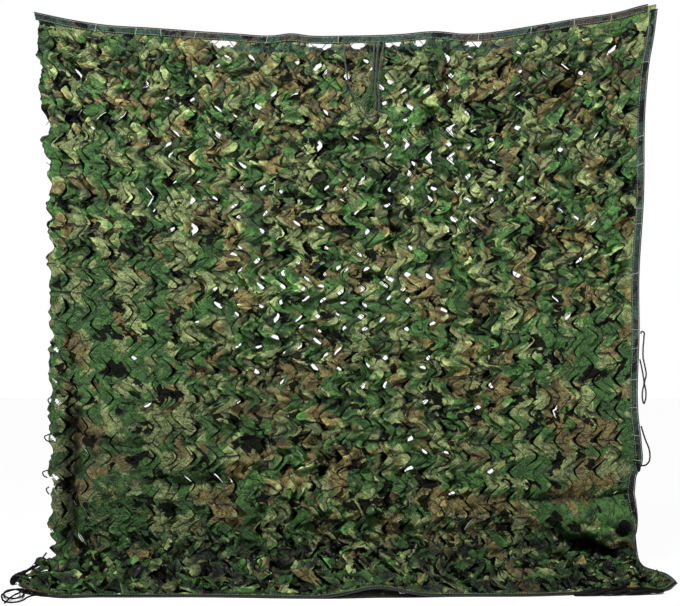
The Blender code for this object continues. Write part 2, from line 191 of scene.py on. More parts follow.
# Soft ridges of the cloth on the floor: x and reach of one end, x and reach of the other,
# half width, rise.
FLOOR_FOLDS = [
    (-0.950, 0.110, -0.600, 0.150, 0.030, 0.034),
    (-0.720, 0.250, -0.300, 0.210, 0.032, 0.036),
    (-0.350, 0.105, 0.050, 0.135, 0.030, 0.034),
    (-0.150, 0.290, 0.240, 0.320, 0.032, 0.030),
    (0.100, 0.190, 0.500, 0.150, 0.030, 0.036),
    (0.450, 0.280, 0.850, 0.230, 0.032, 0.040),
    (0.640, 0.110, 0.860, 0.125, 0.030, 0.026),
    (-0.920, 0.290, -0.550, 0.350, 0.026, 0.024),
    (0.250, 0.370, 0.620, 0.340, 0.026, 0.022),
    (0.840, 0.170, 0.890, 0.160, 0.026, 0.018),
]
FOLDS_FADE = 0.25  # share of the run over which these folds die out before the foot
# Where the foot arches clear of the floor: x of its middle, half width, rise.
FOOT_ARCH = (0.092, 0.100, 0.028)
ARCH_START = 0.60  # share of the run where the arch starts to rise
ARCH_FULL = 0.90  # and where it is at its full height

# ---------------------------------------------------------------- slits

SLIT_COLUMNS = 28  # across the cloth
SLIT_ROW = 0.0455  # between rows of slits, which point right and left in turn
FIRST_SLIT_ROW = 0.080  # below the top edge

# The widest slits, which stand open as holes: column and row.
OPEN_SLITS = [
    (7, 12),
    (13, 6),
    (17, 6),
    (18, 7),
    (19, 5),
    (19, 7),
]

# The places where the cloth hangs away from its top strip: x of the middle, width, depth.
TOP_GAPS = [
    (-0.392, 0.085, 0.017),
    (-0.083, 0.080, 0.017),
    (0.040, 0.050, 0.016),
    (0.152, 0.050, 0.016),
    (0.237, 0.040, 0.014),
    (0.408, 0.055, 0.016),
]

# ---------------------------------------------------------------- cord routes

# Each route is its points in turn: x, forward of the hanging plane, height above the floor.
FRONT_LOOP = [
    (0.110, 0.0050, 1.692),
    (0.108, 0.0055, 1.683),
    (0.103, 0.014, 1.664),
    (0.098, 0.020, 1.625),
    (0.095, 0.021, 1.573),
    (0.092, 0.022, 1.532),
    (0.096, 0.022, 1.492),
    (0.088, 0.022, 1.463),
    (0.073, 0.022, 1.452),
    (0.060, 0.022, 1.464),
    (0.061, 0.022, 1.494),
    (0.072, 0.023, 1.528),
    (0.084, 0.024, 1.568),
    (0.087, 0.022, 1.620),
    (0.090, 0.014, 1.664),
    (0.091, 0.0055, 1.683),
    (0.091, 0.0050, 1.692),
]
FRONT_SWAG = [
    (-0.010, 0.0050, 1.692),
    (-0.009, 0.0055, 1.683),
    (-0.006, 0.014, 1.662),
    (0.000, 0.018, 1.600),
    (0.012, 0.020, 1.541),
    (0.036, 0.028, 1.486),
    (0.055, 0.029, 1.452),
    (0.078, 0.029, 1.441),
    (0.101, 0.029, 1.458),
    (0.105, 0.029, 1.500),
    (0.104, 0.029, 1.560),
    (0.111, 0.026, 1.620),
    (0.119, 0.014, 1.662),
    (0.121, 0.0055, 1.683),
    (0.121, 0.0050, 1.692),
]
UPPER_SIDE_LOOP = [
    (0.9434, -0.0006, 0.7520),
    (0.9470, 0.001, 0.7590),
    (0.9530, 0.003, 0.7570),
    (0.9530, 0.005, 0.7400),
    (0.9500, 0.006, 0.7000),
    (0.9500, 0.007, 0.6770),
    (0.9560, 0.006, 0.6480),
    (0.9605, 0.004, 0.6200),
    (0.9560, 0.000, 0.5940),
    (0.9610, -0.003, 0.5680),
    (0.9590, -0.003, 0.5380),
    (0.9545, -0.002, 0.5270),
    (0.9500, 0.000, 0.5400),
    (0.9490, 0.003, 0.5680),
    (0.9530, 0.007, 0.5930),
    (0.9500, 0.006, 0.6200),
    (0.9460, 0.000, 0.6480),
    (0.9411, -0.0006, 0.6700),
]
LOWER_SIDE_LOOP = [
    (0.9452, -0.0007, 0.4560),
    (0.9510, 0.002, 0.4350),
    (0.9600, 0.003, 0.4080),
    (0.9690, 0.005, 0.3850),
    (0.9720, 0.007, 0.3630),
    (0.9680, 0.010, 0.3430),
    (0.9560, 0.012, 0.3320),
    (0.9420, 0.011, 0.3310),
    (0.9300, 0.0045, 0.3370),
]
# The spare end of the foot's cord, laid in loops on the floor beyond its left corner.
SPARE_END = [
    (-0.8799, 0.4266, 0.0026),
    (-0.890, 0.421, 0.0025),
    (-0.906, 0.424, 0.0024),
    (-0.919, 0.447, 0.0022),
    (-0.924, 0.490, 0.0022),
    (-0.934, 0.513, 0.0022),
    (-0.952, 0.521, 0.0022),
    (-0.972, 0.505, 0.0022),
    (-0.990, 0.462, 0.0022),
    (-1.001, 0.415, 0.0022),
    (-0.996, 0.372, 0.0022),
    (-0.978, 0.342, 0.0030),
    (-0.958, 0.352, 0.0060),
    (-0.944, 0.392, 0.0060),
    (-0.934, 0.440, 0.0068),
    (-0.937, 0.478, 0.0068),
    (-0.953, 0.490, 0.0068),
    (-0.976, 0.470, 0.0068),
    (-0.992, 0.432, 0.0076),
    (-0.990, 0.400, 0.0110),
    (-0.972, 0.384, 0.0112),
    (-0.955, 0.400, 0.0114),
    (-0.948, 0.436, 0.0110),
    (-0.955, 0.466, 0.0112),
    (-0.962, 0.500, 0.0070),
    (-0.966, 0.532, 0.0030),
]
# The support net's own border, where it shows past the cloth at the left corner.
CORNER_BORDER = [
    (-0.9737, 0.0434, 0.0239),
    (-0.990, 0.049, 0.0140),
    (-1.008, 0.061, 0.0060),
    (-1.024, 0.085, 0.0024),
    (-1.031, 0.125, 0.0019),
    (-1.029, 0.170, 0.0018),
    (-1.021, 0.220, 0.0018),
    (-1.011, 0.258, 0.0022),
    (-1.003, 0.279, 0.0045),
    (-0.994, 0.289, 0.0072),
    (-0.9868, 0.288, 0.0083),
]

FINE_STEPS = 40  # steps of a route's curve for each of its own points, before it is evened out


# ---------------------------------------------------------------- the surface, as the solid part has it


def unit(vectors):
    return vectors / np.maximum(np.linalg.norm(vectors, axis=-1, keepdims=True), 1e-12)


def distance_along(points):
    """How far along a line each of its points is."""
    return np.append(0, np.cumsum(np.linalg.norm(np.diff(points, axis=0), axis=1)))


def sample(places, along, values):
    """Values in three columns, read at places along a line."""
    return np.stack([np.interp(places, along, values[:, axis]) for axis in range(3)], axis=-1)


def read(table, place, column=1):
    """Reads a column of a table at a place along its first column, on a smooth curve."""
    rows = np.array([(row[0], row[column]) for row in table])
    keys, values = rows[:, 0], rows[:, 1]
    slopes = np.gradient(values, keys)
    place = np.clip(place, keys[0], keys[-1])
    left = np.clip(np.searchsorted(keys, place) - 1, 0, len(keys) - 2)
    span = keys[left + 1] - keys[left]
    s = (place - keys[left]) / span
    start = values[left] * (1 + 2 * s) * (1 - s) ** 2 + slopes[left] * span * s * (1 - s) ** 2
    end = values[left + 1] * s**2 * (3 - 2 * s) - slopes[left + 1] * span * s**2 * (1 - s)
    return start + end


def ridge(x, y, x0, y0, x1, y1, half_width):
    """A soft ridge of height 1 along the line from one point to another."""
    length_squared = (x1 - x0) ** 2 + (y1 - y0) ** 2
    share = np.clip(((x - x0) * (x1 - x0) + (y - y0) * (y1 - y0)) / length_squared, 0, 1)
    away = np.hypot(x - x0 - share * (x1 - x0), y - y0 - share * (y1 - y0))
    return np.exp(-((away / half_width) ** 2))


def left_side(height):
    scallop = SCALLOP_DEPTH * np.sin(2 * math.pi * height / SCALLOP_PITCH)
    return read(LEFT_OUTLINE, height) + scallop


def right_side(height):
    return read(RIGHT_OUTLINE, height) - EDGE_INSET


def top_height(x):
    return DROP + read(TOP_OUTLINE, x) - EDGE_INSET


def hung_forward(x, height):
    """How far the hung cloth stands in front of the hanging plane."""
    forward = sum(
        wave_forward * np.sin(2 * math.pi * (x / wavelength + phase))
        for wavelength, phase, wave_forward in RIPPLES
    )
    for x0, height0, x1, height1, half_width, fold_forward in HUNG_FOLDS:
        forward = forward + fold_forward * ridge(x, height, x0, height0, x1, height1, half_width)
    # The top edge is held straight.
    below_top = np.clip((top_height(x) - height) / HELD_STRAIGHT, 0, 1)
    return forward * below_top


def surface(across, down):
    """The cloth's middle surface: across runs 0 to 1 from left to right, and down runs 0 to 1
    from the top edge to the sweep and 1 to 2 from there to the foot."""
    across, down = np.broadcast_arrays(np.asarray(across, float), np.asarray(down, float))
    hung, floor = np.clip(down, 0, 1), np.clip(down - 1, 0, 1)
    top = top_height(-1 + 2 * across)
    hung_height = top + (SWEEP_HEIGHT - top) * hung
    hung_x = left_side(hung_height) * (1 - across) + right_side(hung_height) * across
    left = read(FLOOR_SIDES, floor, 1) + left_side(SWEEP_HEIGHT) - FLOOR_SIDES[0][1]
    right = read(FLOOR_SIDES, floor, 2) - EDGE_INSET
    x = np.where(down <= 1, hung_x, left * (1 - across) + right * across)

    reach = read(FOOT_REACH, across) - EDGE_INSET
    swept = read(SWEEP, floor, 1) * reach
    forward = hung_forward(x, hung_height) * (1 - floor) ** 3 + swept
    rise = 0
    for x0, reach0, x1, reach1, half_width, fold_rise in FLOOR_FOLDS:
        rise = rise + fold_rise * ridge(x, swept, x0, reach0, x1, reach1, half_width)
    fade = np.clip((1 - floor) / FOLDS_FADE, 0, 1)
    fade = fade**2 * (3 - 2 * fade)
    middle, half_width, arch_rise = FOOT_ARCH
    near_foot = np.clip((floor - ARCH_START) / (ARCH_FULL - ARCH_START), 0, 1)
    arch = arch_rise * np.exp(-(((x - middle) / half_width) ** 2)) * near_foot**2
    height = np.where(down <= 1, hung_height, read(SWEEP, floor, 2) + rise * fade + arch)
    return np.stack([x, -forward, height - DROP], axis=-1)


def smooth_route(points, spacing):
    """Even points on a smooth curve through a route's own points."""
    route = np.array([(x, -forward, height - DROP) for x, forward, height in points])
    places = distance_along(route)
    keyed = np.column_stack([places, route])
    fine = np.linspace(0, places[-1], FINE_STEPS * len(points))
    curve = np.stack([read(keyed, fine, column) for column in (1, 2, 3)], axis=-1)
    along = distance_along(curve)
    return sample(np.linspace(0, along[-1], round(along[-1] / spacing) + 1), along, curve)


# ---------------------------------------------------------------- meshes


def smoothstep(value, start, end):
    share = np.clip((value - start) / (end - start), 0, 1)
    return share * share * (3 - 2 * share)


RANDOM_SIDE = 256  # of each square table of random values


def random_values(seed, *count):
    """Square tables of random values from -1 to 1."""
    return np.random.default_rng(seed).uniform(-1, 1, (*count, RANDOM_SIDE, RANDOM_SIDE))


def eased(share):
    return share * share * share * (share * (6 * share - 15) + 10)


def value_noise(x, y, spacing, seed):
    """Smooth random values from -1 to 1 at places in metres, with bumps about spacing wide."""
    x, y = np.asarray(x, float) / spacing + 40.0, np.asarray(y, float) / spacing + 40.0
    table = random_values(seed)
    column, row = np.floor(x).astype(int), np.floor(y).astype(int)
    fx, fy = eased(x - column), eased(y - row)
    column, row = column % (RANDOM_SIDE - 1), row % (RANDOM_SIDE - 1)
    low = table[row, column] * (1 - fx) + table[row, column + 1] * fx
    high = table[row + 1, column] * (1 - fx) + table[row + 1, column + 1] * fx
    return low * (1 - fy) + high * fy


def crumple(x, y, spacing, seed):
    """Random values from -1 to 1 that change evenly over flat three-cornered facets."""
    warp = 0.35 * spacing
    x0 = x + warp * value_noise(x, y, 1.7 * spacing, seed + 500)
    y0 = y + warp * value_noise(x, y, 1.7 * spacing, seed + 700)
    # The facets' sides run at a slant, as the arms of the slits do.
    x1, y1 = (x0 + 0.8 * y0) / spacing + 60.0, (0.8 * y0 - x0) / spacing + 60.0
    table = random_values(seed)
    column, row = np.floor(x1).astype(int), np.floor(y1).astype(int)
    fx, fy = x1 - column, y1 - row
    column, row = column % (RANDOM_SIDE - 1), row % (RANDOM_SIDE - 1)
    near, far = table[row, column], table[row + 1, column + 1]
    beside, above = table[row, column + 1], table[row + 1, column]
    low = near + fx * (beside - near) + fy * (above - near)
    high = far + (1 - fx) * (above - far) + (1 - fy) * (beside - far)
    return np.where(fx + fy < 1, low, high)


def leaning(x, y, seed):
    """The height, from -1 to 1, of leaves that each lean their own way and lie over or under the
    next, at places counted in leaves."""
    column, row = np.floor(x).astype(int), np.floor(y).astype(int)
    fx, fy = x - column - 0.5, y - row - 0.5
    values = random_values(seed, 3)
    height, lean_x, lean_y = values[:, row % RANDOM_SIDE, column % RANDOM_SIDE]
    return 0.45 * height + 1.25 * (lean_x * fx + lean_y * fy)


def build(name, verts, faces, material, attributes=None, uv=None, smooth=True):
    """A piece from arrays: its corners, its four-cornered faces, and values at each corner."""
    verts, faces = np.asarray(verts, np.float32), np.asarray(faces, np.int32)
    mesh = bpy.data.meshes.new(name)
    mesh.vertices.add(len(verts))
    mesh.vertices.foreach_set("co", verts.ravel())
    mesh.loops.add(faces.size)
    mesh.loops.foreach_set("vertex_index", faces.ravel())
    mesh.polygons.add(len(faces))
    starts = np.arange(0, faces.size, faces.shape[1], dtype=np.int32)
    mesh.polygons.foreach_set("loop_start", starts)
    mesh.polygons.foreach_set("use_smooth", np.full(len(faces), smooth))
    mesh.update(calc_edges=True)
    mesh.validate()
    for key, values in (attributes or {}).items():
        values = np.asarray(values, np.float32)
        kind = "FLOAT" if values.ndim == 1 else "FLOAT_VECTOR"
        layer = mesh.attributes.new(key, kind, "POINT")
        layer.data.foreach_set("value" if values.ndim == 1 else "vector", values.ravel())
    if uv is not None:
        layer = mesh.uv_layers.new(name="UVMap")
        layer.data.foreach_set("uv", np.asarray(uv, np.float32)[faces.ravel()].ravel())
    mesh.materials.append(material)
    piece = bpy.data.objects.new(name, mesh)
    bpy.context.scene.collection.objects.link(piece)
    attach(piece, "root")
    return piece


def frames(points, normal=None):
    """Two directions square to a line of points at each of them."""
    along = unit(np.gradient(points, axis=0))
    if normal is not None:
        side = unit(np.cross(along, normal))
        return side, unit(np.cross(side, along))
    side = np.empty_like(points)
    start = np.array([0.0, 0.0, 1.0]) if abs(along[0, 2]) < 0.8 else np.array([1.0, 0.0, 0.0])
    side[0] = unit(np.cross(along[0], start))
    for index in range(1, len(points)):
        carried = side[index - 1] - along[index] * np.dot(side[index - 1], along[index])
        side[index] = unit(carried)
    return side, np.cross(along, side)


def faces_between(rings, around):
    """The faces that join each ring of corners to the next."""
    first = np.arange(rings - 1)[:, None] * around
    corner = np.arange(around)[None, :]
    beside = (corner + 1) % around
    faces = [first + corner, first + beside, first + around + beside, first + around + corner]
    return np.stack(faces, axis=-1).reshape(-1, 4)


def tube(points, radius, sides=8, normal=None, strands=0, pitch=0.014, relief=0.16):
    """Corners and faces of a tube along a line of points, twisted from strands if it has any."""
    points = np.asarray(points, float)
    side, over = frames(points, normal)
    along = distance_along(points)
    turn = np.linspace(0, 2 * math.pi, sides, endpoint=False)[None, :]
    reach = np.full((len(points), sides), radius)
    if strands:
        wave = np.cos(strands * (turn - 2 * math.pi * along[:, None] / (pitch * strands)))
        reach = radius * (1 - relief * (0.5 - 0.5 * wave))
    corners = (
        points[:, None]
        + side[:, None] * (reach * np.cos(turn))[..., None]
        + over[:, None] * (reach * np.sin(turn))[..., None]
    )
    faces = faces_between(len(points), sides)
    verts = corners.reshape(-1, 3)
    # Each end is closed by a fan about its middle, as four-cornered faces with one corner twice.
    ends = np.array([points[0], points[-1]])
    base = len(verts)
    verts = np.vstack([verts, ends])
    last = (len(points) - 1) * sides
    caps = []
    for corner in range(0, sides, 2):
        one, two, three = corner, (corner + 1) % sides, (corner + 2) % sides
        caps.append((base, three, two, one))
        caps.append((base + 1, last + one, last + two, last + three))
    faces = np.vstack([faces, np.array(caps)])
    flat = np.column_stack([np.repeat(along, sides), np.tile(turn.ravel(), len(points))])
    flat = np.vstack([flat, [[0, 0], [along[-1], 0]]])
    return verts, faces, flat


def join(parts):
    """Puts several sets of corners and faces into one."""
    verts, faces, flats, count = [], [], [], 0
    for part_verts, part_faces, part_flat in parts:
        verts.append(part_verts)
        faces.append(part_faces + count)
        flats.append(part_flat)
        count += len(part_verts)
    return np.vstack(verts), np.vstack(faces), np.vstack(flats)


def build_tubes(name, parts, material):
    verts, faces, flat = join(parts)
    flat = np.column_stack([flat, np.zeros(len(flat))])
    return build(name, verts, faces, material, {"flat": flat})


# ---------------------------------------------------------------- materials


class Nodes:
    """Makes shader nodes in one line each."""

    def __init__(self, name):
        self.material = bpy.data.materials.new(name)
        self.material.use_nodes = True
        self.tree = self.material.node_tree
        self.shader = self.tree.nodes["Principled BSDF"]

    def set(self, socket, value):
        if isinstance(value, bpy.types.NodeSocket):
            self.tree.links.new(value, socket)
        else:
            socket.default_value = value

    def add(self, kind, inputs=None, **settings):
        node = self.tree.nodes.new(kind)
        for key, value in settings.items():
            setattr(node, key, value)
        for key, value in (inputs or {}).items():
            self.set(node.inputs[key], value)
        return node

    def math(self, operation, *values, clamp=False):
        inputs = dict(enumerate(values))
        return self.add("ShaderNodeMath", inputs, operation=operation, use_clamp=clamp).outputs[0]

    def noise(self, vector, scale, detail=2.0, roughness=0.5, distortion=0.0):
        inputs = {
            "Vector": vector,
            "Scale": scale,
            "Detail": detail,
            "Roughness": roughness,
            "Distortion": distortion,
        }
        return self.add("ShaderNodeTexNoise", inputs).outputs["Fac"]

    def step(self, value, low, high):
        """0 below low and 1 above high."""
        inputs = {"Value": value, "From Min": low, "From Max": high}
        return self.add("ShaderNodeMapRange", inputs, clamp=True).outputs["Result"]

    def mix(self, share, low, high):
        """The low colour where the share is 0, and the high one where it is 1."""
        inputs = {0: share, 6: low, 7: high}
        return self.add("ShaderNodeMix", inputs, data_type="RGBA").outputs[2]

    def vector(self, operation, *values):
        inputs = dict(enumerate(values))
        return self.add("ShaderNodeVectorMath", inputs, operation=operation).outputs[0]

    def attribute(self, name, output="Fac"):
        return self.add("ShaderNodeAttribute", attribute_name=name).outputs[output]

    def split(self, vector):
        return self.add("ShaderNodeSeparateXYZ", {0: vector}).outputs

    def swaying(self, vector, scale, detail):
        """Three random values at each place, about 0."""
        inputs = {"Vector": vector, "Scale": scale, "Detail": detail}
        colour = self.add("ShaderNodeTexNoise", inputs).outputs["Color"]
        return self.vector("SUBTRACT", colour, (0.5, 0.5, 0.5))

    def lines(self, vector, *noise):
        """0 along random lines, and more away from them."""
        return self.math("ABSOLUTE", self.math("SUBTRACT", self.noise(vector, *noise), 0.5))

    def crevice(self, distance, draw, most, least):
        """0 in a dark line of painted shade, whose width a random draw sets, and 1 away from it."""
        width = self.math("MULTIPLY_ADD", draw, most, least)
        width = self.math("MAXIMUM", width, THINNEST)
        return self.step(distance, self.math("MULTIPLY", width, 0.25), width)

    def move(self, vector, offset, scale=(1, 1, 1)):
        inputs = {"Vector": vector, "Location": offset, "Scale": scale}
        return self.add("ShaderNodeMapping", inputs).outputs[0]

    def finish(self, colour, height, distance, roughness, specular, sheen=0.0):
        inputs = {"Strength": 1.0, "Distance": distance, "Height": height}
        values = {
            "Base Color": colour,
            "Roughness": roughness,
            "Specular IOR Level": specular,
            "Sheen Weight": sheen,
            "Normal": self.add("ShaderNodeBump", inputs).outputs["Normal"],
        }
        for key, value in values.items():
            self.set(self.shader.inputs[key], value)
        return self.material


def rgba(colour, gain=1.0):
    return tuple(channel * gain for channel in colour) + (1.0,)


GREEN = (0.044, 0.121, 0.025)
OLIVE = (0.212, 0.262, 0.098)
BROWN = (0.168, 0.138, 0.046)
BLACK = (0.0060, 0.0074, 0.0034)
TEAL = (0.020, 0.048, 0.032)
# Near black for the hot-cut edges and for painted shade in crevices, creases and fold lines.
EDGE_AND_SHADOW_BLACK = (0.0015, 0.0018, 0.0012)

# Leaves that follow the ribbons, and ones that lie across each other as blocks: their attribute,
# how much they differ in tone and in print, and how wide the crevices of painted shade beside them are.
LEAF_KINDS = [
    ("leaf", 0.95, 0.07, 0.20),
    ("block", 1.08, 0.09, 0.26),
]
LEAF_BEND = (0.30, 0.24, 0.0)  # how far a leaf's outline strays, in leaves
THINNEST = 0.001  # a crevice or rim is no thinner than this
# Painted highlight on a loose leaf's own edge.
RIM_LIGHT = 0.75  # how much brighter a loose leaf's own edge is
DARKEST = 0.03
# The colours printed over the first, in turn: where the noise is read and how it is stretched, its
# scale, detail and roughness, how much the cloth's own attribute adds to it, and the values
# between which it turns to the colour.
PRINTS = [
    ((0, 0, 0), (0.9, 1.0, 1), 13.0, 1.5, 0.5, 0.110, 0.512, 0.530),
    ((5.3, 2.2, 0), (0.85, 1.0, 1), 11.0, 1.5, 0.5, 0.074, 0.586, 0.606),
    ((9.1, 7.7, 0), (0.8, 1.0, 1), 15.0, 3.0, 0.60, 0.052, 0.590, 0.602),
]
PRINT_WOBBLE = (0.042, 0.042, 0.0)  # how far the outlines of the print stray, in metres
HEM_TEAL = 0.8  # how far the hem's colour replaces the print


def loose_leaves(nodes, flat):
    """How far each leaf's print has moved, how bright it is, and how loose the leaves are. Painted
    shadow darkens them where the next one lies over them, and a painted highlight lightens their own
    edge."""
    bent = nodes.swaying(flat, 75.0, 2.0)
    drift, leaf_value, loose = 0.0, 1.0, 0.0
    for kind, tone_range, print_range, line in LEAF_KINDS:
        leaf = nodes.attribute(kind, "Vector")
        share = nodes.split(leaf)["Z"]
        loose = nodes.math("ADD", loose, share)
        leaf = nodes.vector("MULTIPLY_ADD", bent, LEAF_BEND, leaf)
        spot = nodes.vector("MULTIPLY", leaf, (1, 1, 0))
        cell = nodes.vector("FLOOR", spot)
        own = nodes.add("ShaderNodeTexWhiteNoise", {"Vector": cell}, noise_dimensions="2D")
        red, green, blue = nodes.add("ShaderNodeSeparateColor", {0: own.outputs["Color"]}).outputs
        right, below, _ = nodes.split(nodes.vector("FRACTION", spot))
        tone = nodes.math("MULTIPLY", nodes.math("SUBTRACT", red, 0.5), tone_range)
        own_print = nodes.math("MULTIPLY", nodes.math("SUBTRACT", green, 0.5), print_range)
        drift = nodes.math("MULTIPLY_ADD", own_print, share, drift)
        # Painted shadow in a dark line beside and above each leaf, and a painted highlight at its own
        # edge.
        beside = nodes.math("SUBTRACT", 1.0, right)
        beside = nodes.crevice(beside, blue, 2.4 * line, -0.6 * line)
        above = nodes.crevice(below, green, 2.4 * line, -0.8 * line)
        dark = nodes.math("MINIMUM", beside, above)
        width = nodes.math("MULTIPLY_ADD", red, 1.3 * line, -0.3 * line)
        bright = nodes.step(right, nodes.math("MAXIMUM", width, THINNEST), 0.0)
        tone = nodes.math("MULTIPLY_ADD", tone, share, 1.0)
        crevices = nodes.math("MULTIPLY", share, 3.0, clamp=True)
        lines = nodes.math("SUBTRACT", dark, 1.0)
        lines = nodes.math("MULTIPLY_ADD", bright, RIM_LIGHT, lines)
        tone = nodes.math("MULTIPLY_ADD", lines, crevices, tone)
        leaf_value = nodes.math("MULTIPLY", leaf_value, nodes.math("MAXIMUM", tone, DARKEST))
    return drift, leaf_value, loose


def camouflage(name, tints, shift=0.0):
    """A printed woodland cloth. It reads the cloth's flat place, its distance to the nearest cut
    edge, and its shade: a small random tone from leaf to leaf, with painted shade and highlights."""
    base, *over = tints
    nodes = Nodes(name)
    flat = nodes.attribute("flat", "Vector")
    drift, leaf_value, loose = loose_leaves(nodes, flat)
    drifted = nodes.vector("ADD", flat, nodes.add("ShaderNodeCombineXYZ", {2: drift}).outputs[0])
    place = nodes.move(drifted, (3.1 + shift, 1.7, 0.4))
    wobble = nodes.vector("MULTIPLY", nodes.swaying(place, 30.0, 5.0), PRINT_WOBBLE)
    place = nodes.vector("ADD", place, wobble)

    warm = nodes.attribute("warm")
    added = (nodes.math("MINIMUM", warm, 0.0), warm, nodes.attribute("inky"))
    colour = rgba(base)
    for tint, more, (offset, stretch, *noise, amount, low, high) in zip(over, added, PRINTS):
        patches = nodes.noise(nodes.move(place, offset, stretch), *noise)
        patches = nodes.math("MULTIPLY_ADD", more, amount, patches)
        inked = nodes.step(patches, low, high)
        colour = nodes.mix(inked, colour, rgba(tint))
    hem = nodes.math("MULTIPLY", nodes.attribute("hem"), HEM_TEAL)
    colour = nodes.mix(hem, colour, rgba(TEAL, 1.3))

    # The print is mottled and its leaves differ. It is dark along the cut edges: a thin hot-cut line,
    # widened by painted shadow where a leaf laps over the next.
    mottle = nodes.noise(flat, 120.0, 4.0, 0.75)
    value = nodes.math("MULTIPLY_ADD", nodes.step(mottle, 0.25, 0.8), 1.30, 0.38)
    value = nodes.math("MULTIPLY", value, nodes.attribute("shade"))
    value = nodes.math("MULTIPLY", value, leaf_value)
    inputs = {"Color": colour, "Value": value}
    colour = nodes.add("ShaderNodeHueSaturation", inputs).outputs[0]
    ragged = nodes.noise(flat, 220.0, 2.0, 0.6)
    cut = nodes.math("MULTIPLY_ADD", ragged, -0.5, nodes.attribute("cut"))
    printed = nodes.step(cut, 0.45, 0.95)
    colour = nodes.mix(printed, rgba(EDGE_AND_SHADOW_BLACK), colour)

    # Creases, small and broad, for the bump; dark fold lines of painted shade where the cloth isn't
    # loose; and the weave.
    broad = nodes.lines(flat, 24.0, 3.0, 0.6, 1.2)
    creases = nodes.math("MULTIPLY_ADD", broad, 1.6, nodes.lines(flat, 70.0, 3.0, 0.6, 0.8))
    lines = nodes.step(broad, nodes.math("MULTIPLY_ADD", loose, -0.010, 0.010), 0.028)
    lines = nodes.math("MULTIPLY_ADD", lines, 0.75, 0.25)
    colour = nodes.mix(lines, rgba(EDGE_AND_SHADOW_BLACK), colour)
    share = nodes.math("MULTIPLY_ADD", loose, -0.8, 0.8)
    folded = nodes.step(nodes.lines(flat, 13.0, 4.0, 0.6, 1.4), 0.004, 0.021)
    folded = nodes.math("MULTIPLY_ADD", nodes.math("SUBTRACT", folded, 1.0), share, 1.0)
    colour = nodes.mix(folded, rgba(EDGE_AND_SHADOW_BLACK), colour)
    weave = [
        nodes.add(
            "ShaderNodeTexWave",
            {"Vector": flat, "Scale": 420.0},
            wave_type="BANDS",
            bands_direction=way,
        ).outputs["Fac"]
        for way in ("X", "Y")
    ]
    height = nodes.math("MULTIPLY_ADD", nodes.math("ADD", *weave), 0.015, creases)
    roughness = nodes.math("MULTIPLY_ADD", mottle, 0.25, 0.30)
    # The last ink, the black, is duller than the rest.
    gloss = nodes.math("MULTIPLY", printed, nodes.math("MULTIPLY_ADD", inked, -0.24, 0.34))
    return nodes.finish(colour, height, 0.012, roughness, gloss)


def rope(name, colour, light, gloss=0.3, sheen=0.2):
    nodes = Nodes(name)
    flat = nodes.attribute("flat", "Vector")
    fibres = nodes.noise(nodes.move(flat, (0, 0, 0), (1, 0.001, 1)), 900.0, 3.0, 0.7)
    patches = nodes.noise(flat, 25.0, 2.0, 0.5)
    tone = nodes.math("MULTIPLY_ADD", fibres, 0.6, nodes.math("MULTIPLY", patches, 0.5))
    mixed = nodes.mix(nodes.step(tone, 0.3, 0.85), rgba(colour), rgba(light))
    return nodes.finish(mixed, fibres, 0.0006, 0.62, gloss, sheen)


leaf_material = camouflage("leaf_cloth_print", (GREEN, OLIVE, BROWN, BLACK))
binding_material = camouflage(
    "binding_print",
    (TEAL, (0.035, 0.080, 0.048), (0.050, 0.043, 0.028), (0.010, 0.012, 0.012)),
    shift=4.0,
)
# Painted shade: the foot's strip is a darker copy of the binding's print.
painted_shade_foot_material = camouflage(
    "foot_print_painted_shade",
    ((0.008, 0.018, 0.013), (0.012, 0.026, 0.017), (0.016, 0.014, 0.010), (0.004, 0.005, 0.005)),
    shift=4.0,
)
edge_rope = rope("edge_rope", (0.003, 0.004, 0.003), (0.009, 0.012, 0.009))
slack_rope = rope("slack_rope", (0.004, 0.005, 0.004), (0.022, 0.028, 0.021))
black_rope = rope("black_rope", (0.002, 0.002, 0.002), (0.005, 0.005, 0.005), 0.10, 0.0)
net_string = rope("net_string", (0.002, 0.002, 0.002), (0.005, 0.005, 0.005), 0.10, 0.0)
front_rope = rope("front_rope", (0.006, 0.008, 0.006), (0.045, 0.055, 0.040))
pale_thread = rope("pale_thread", (0.230, 0.260, 0.200), (0.420, 0.450, 0.360))

# ---------------------------------------------------------------- slack cords

CORD_STEP = 0.0035
STRANDS_PROUD = 1.4  # how far a cord's strands reach, for a plain cord's 1
# Name, route, far end, how it lies, material.
SLACK_CORDS = [
    ("front_loop", FRONT_LOOP, "object", "hanging", front_rope),
    ("front_swag", FRONT_SWAG, "object", "hanging", front_rope),
    ("upper_side_loop", UPPER_SIDE_LOOP, "object", "hanging", slack_rope),
    ("lower_side_loop", LOWER_SIDE_LOOP, "object", "hanging", black_rope),
    ("spare_end", SPARE_END, "bare", "loose", black_rope),
]


def slack_cord(name, route, diameter, material):
    points = smooth_route(route, CORD_STEP)
    strands = tube(points, diameter / 2 * STRANDS_PROUD, 10, strands=3, relief=0.2)
    piece = build_tubes(name + "_rope", [strands], material)
    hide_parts(name)


for cord_name, cord_route, cord_end, cord_lay, cord_finish in SLACK_CORDS:
    slack_cord(cord_name, cord_route, CORD_DIAMETER, cord_finish)
slack_cord(
    "corner_border", CORNER_BORDER, NET_CORD_DIAMETER, net_string
)

# ---------------------------------------------------------------- the slit cloth

CLOTH_WIDTH = 2.0
FLOOR_RUN = 0.520
RIBBONS = 2 * SLIT_COLUMNS  # zigzag strips across the cloth, two for each column of slits
RIBBON = CLOTH_WIDTH / RIBBONS
FINE_COLUMNS = 6  # of the mesh across a ribbon
FINE_ROWS = 10  # of the mesh down a row of slits
SLIT_REACH = 7  # rows of the mesh from a slit's point to its end
FLAP = 0.034  # how far the bend of a leaf reaches from its slit
ARM_SLOPE = 0.79  # a slit's distance measured square to it, for each unit across
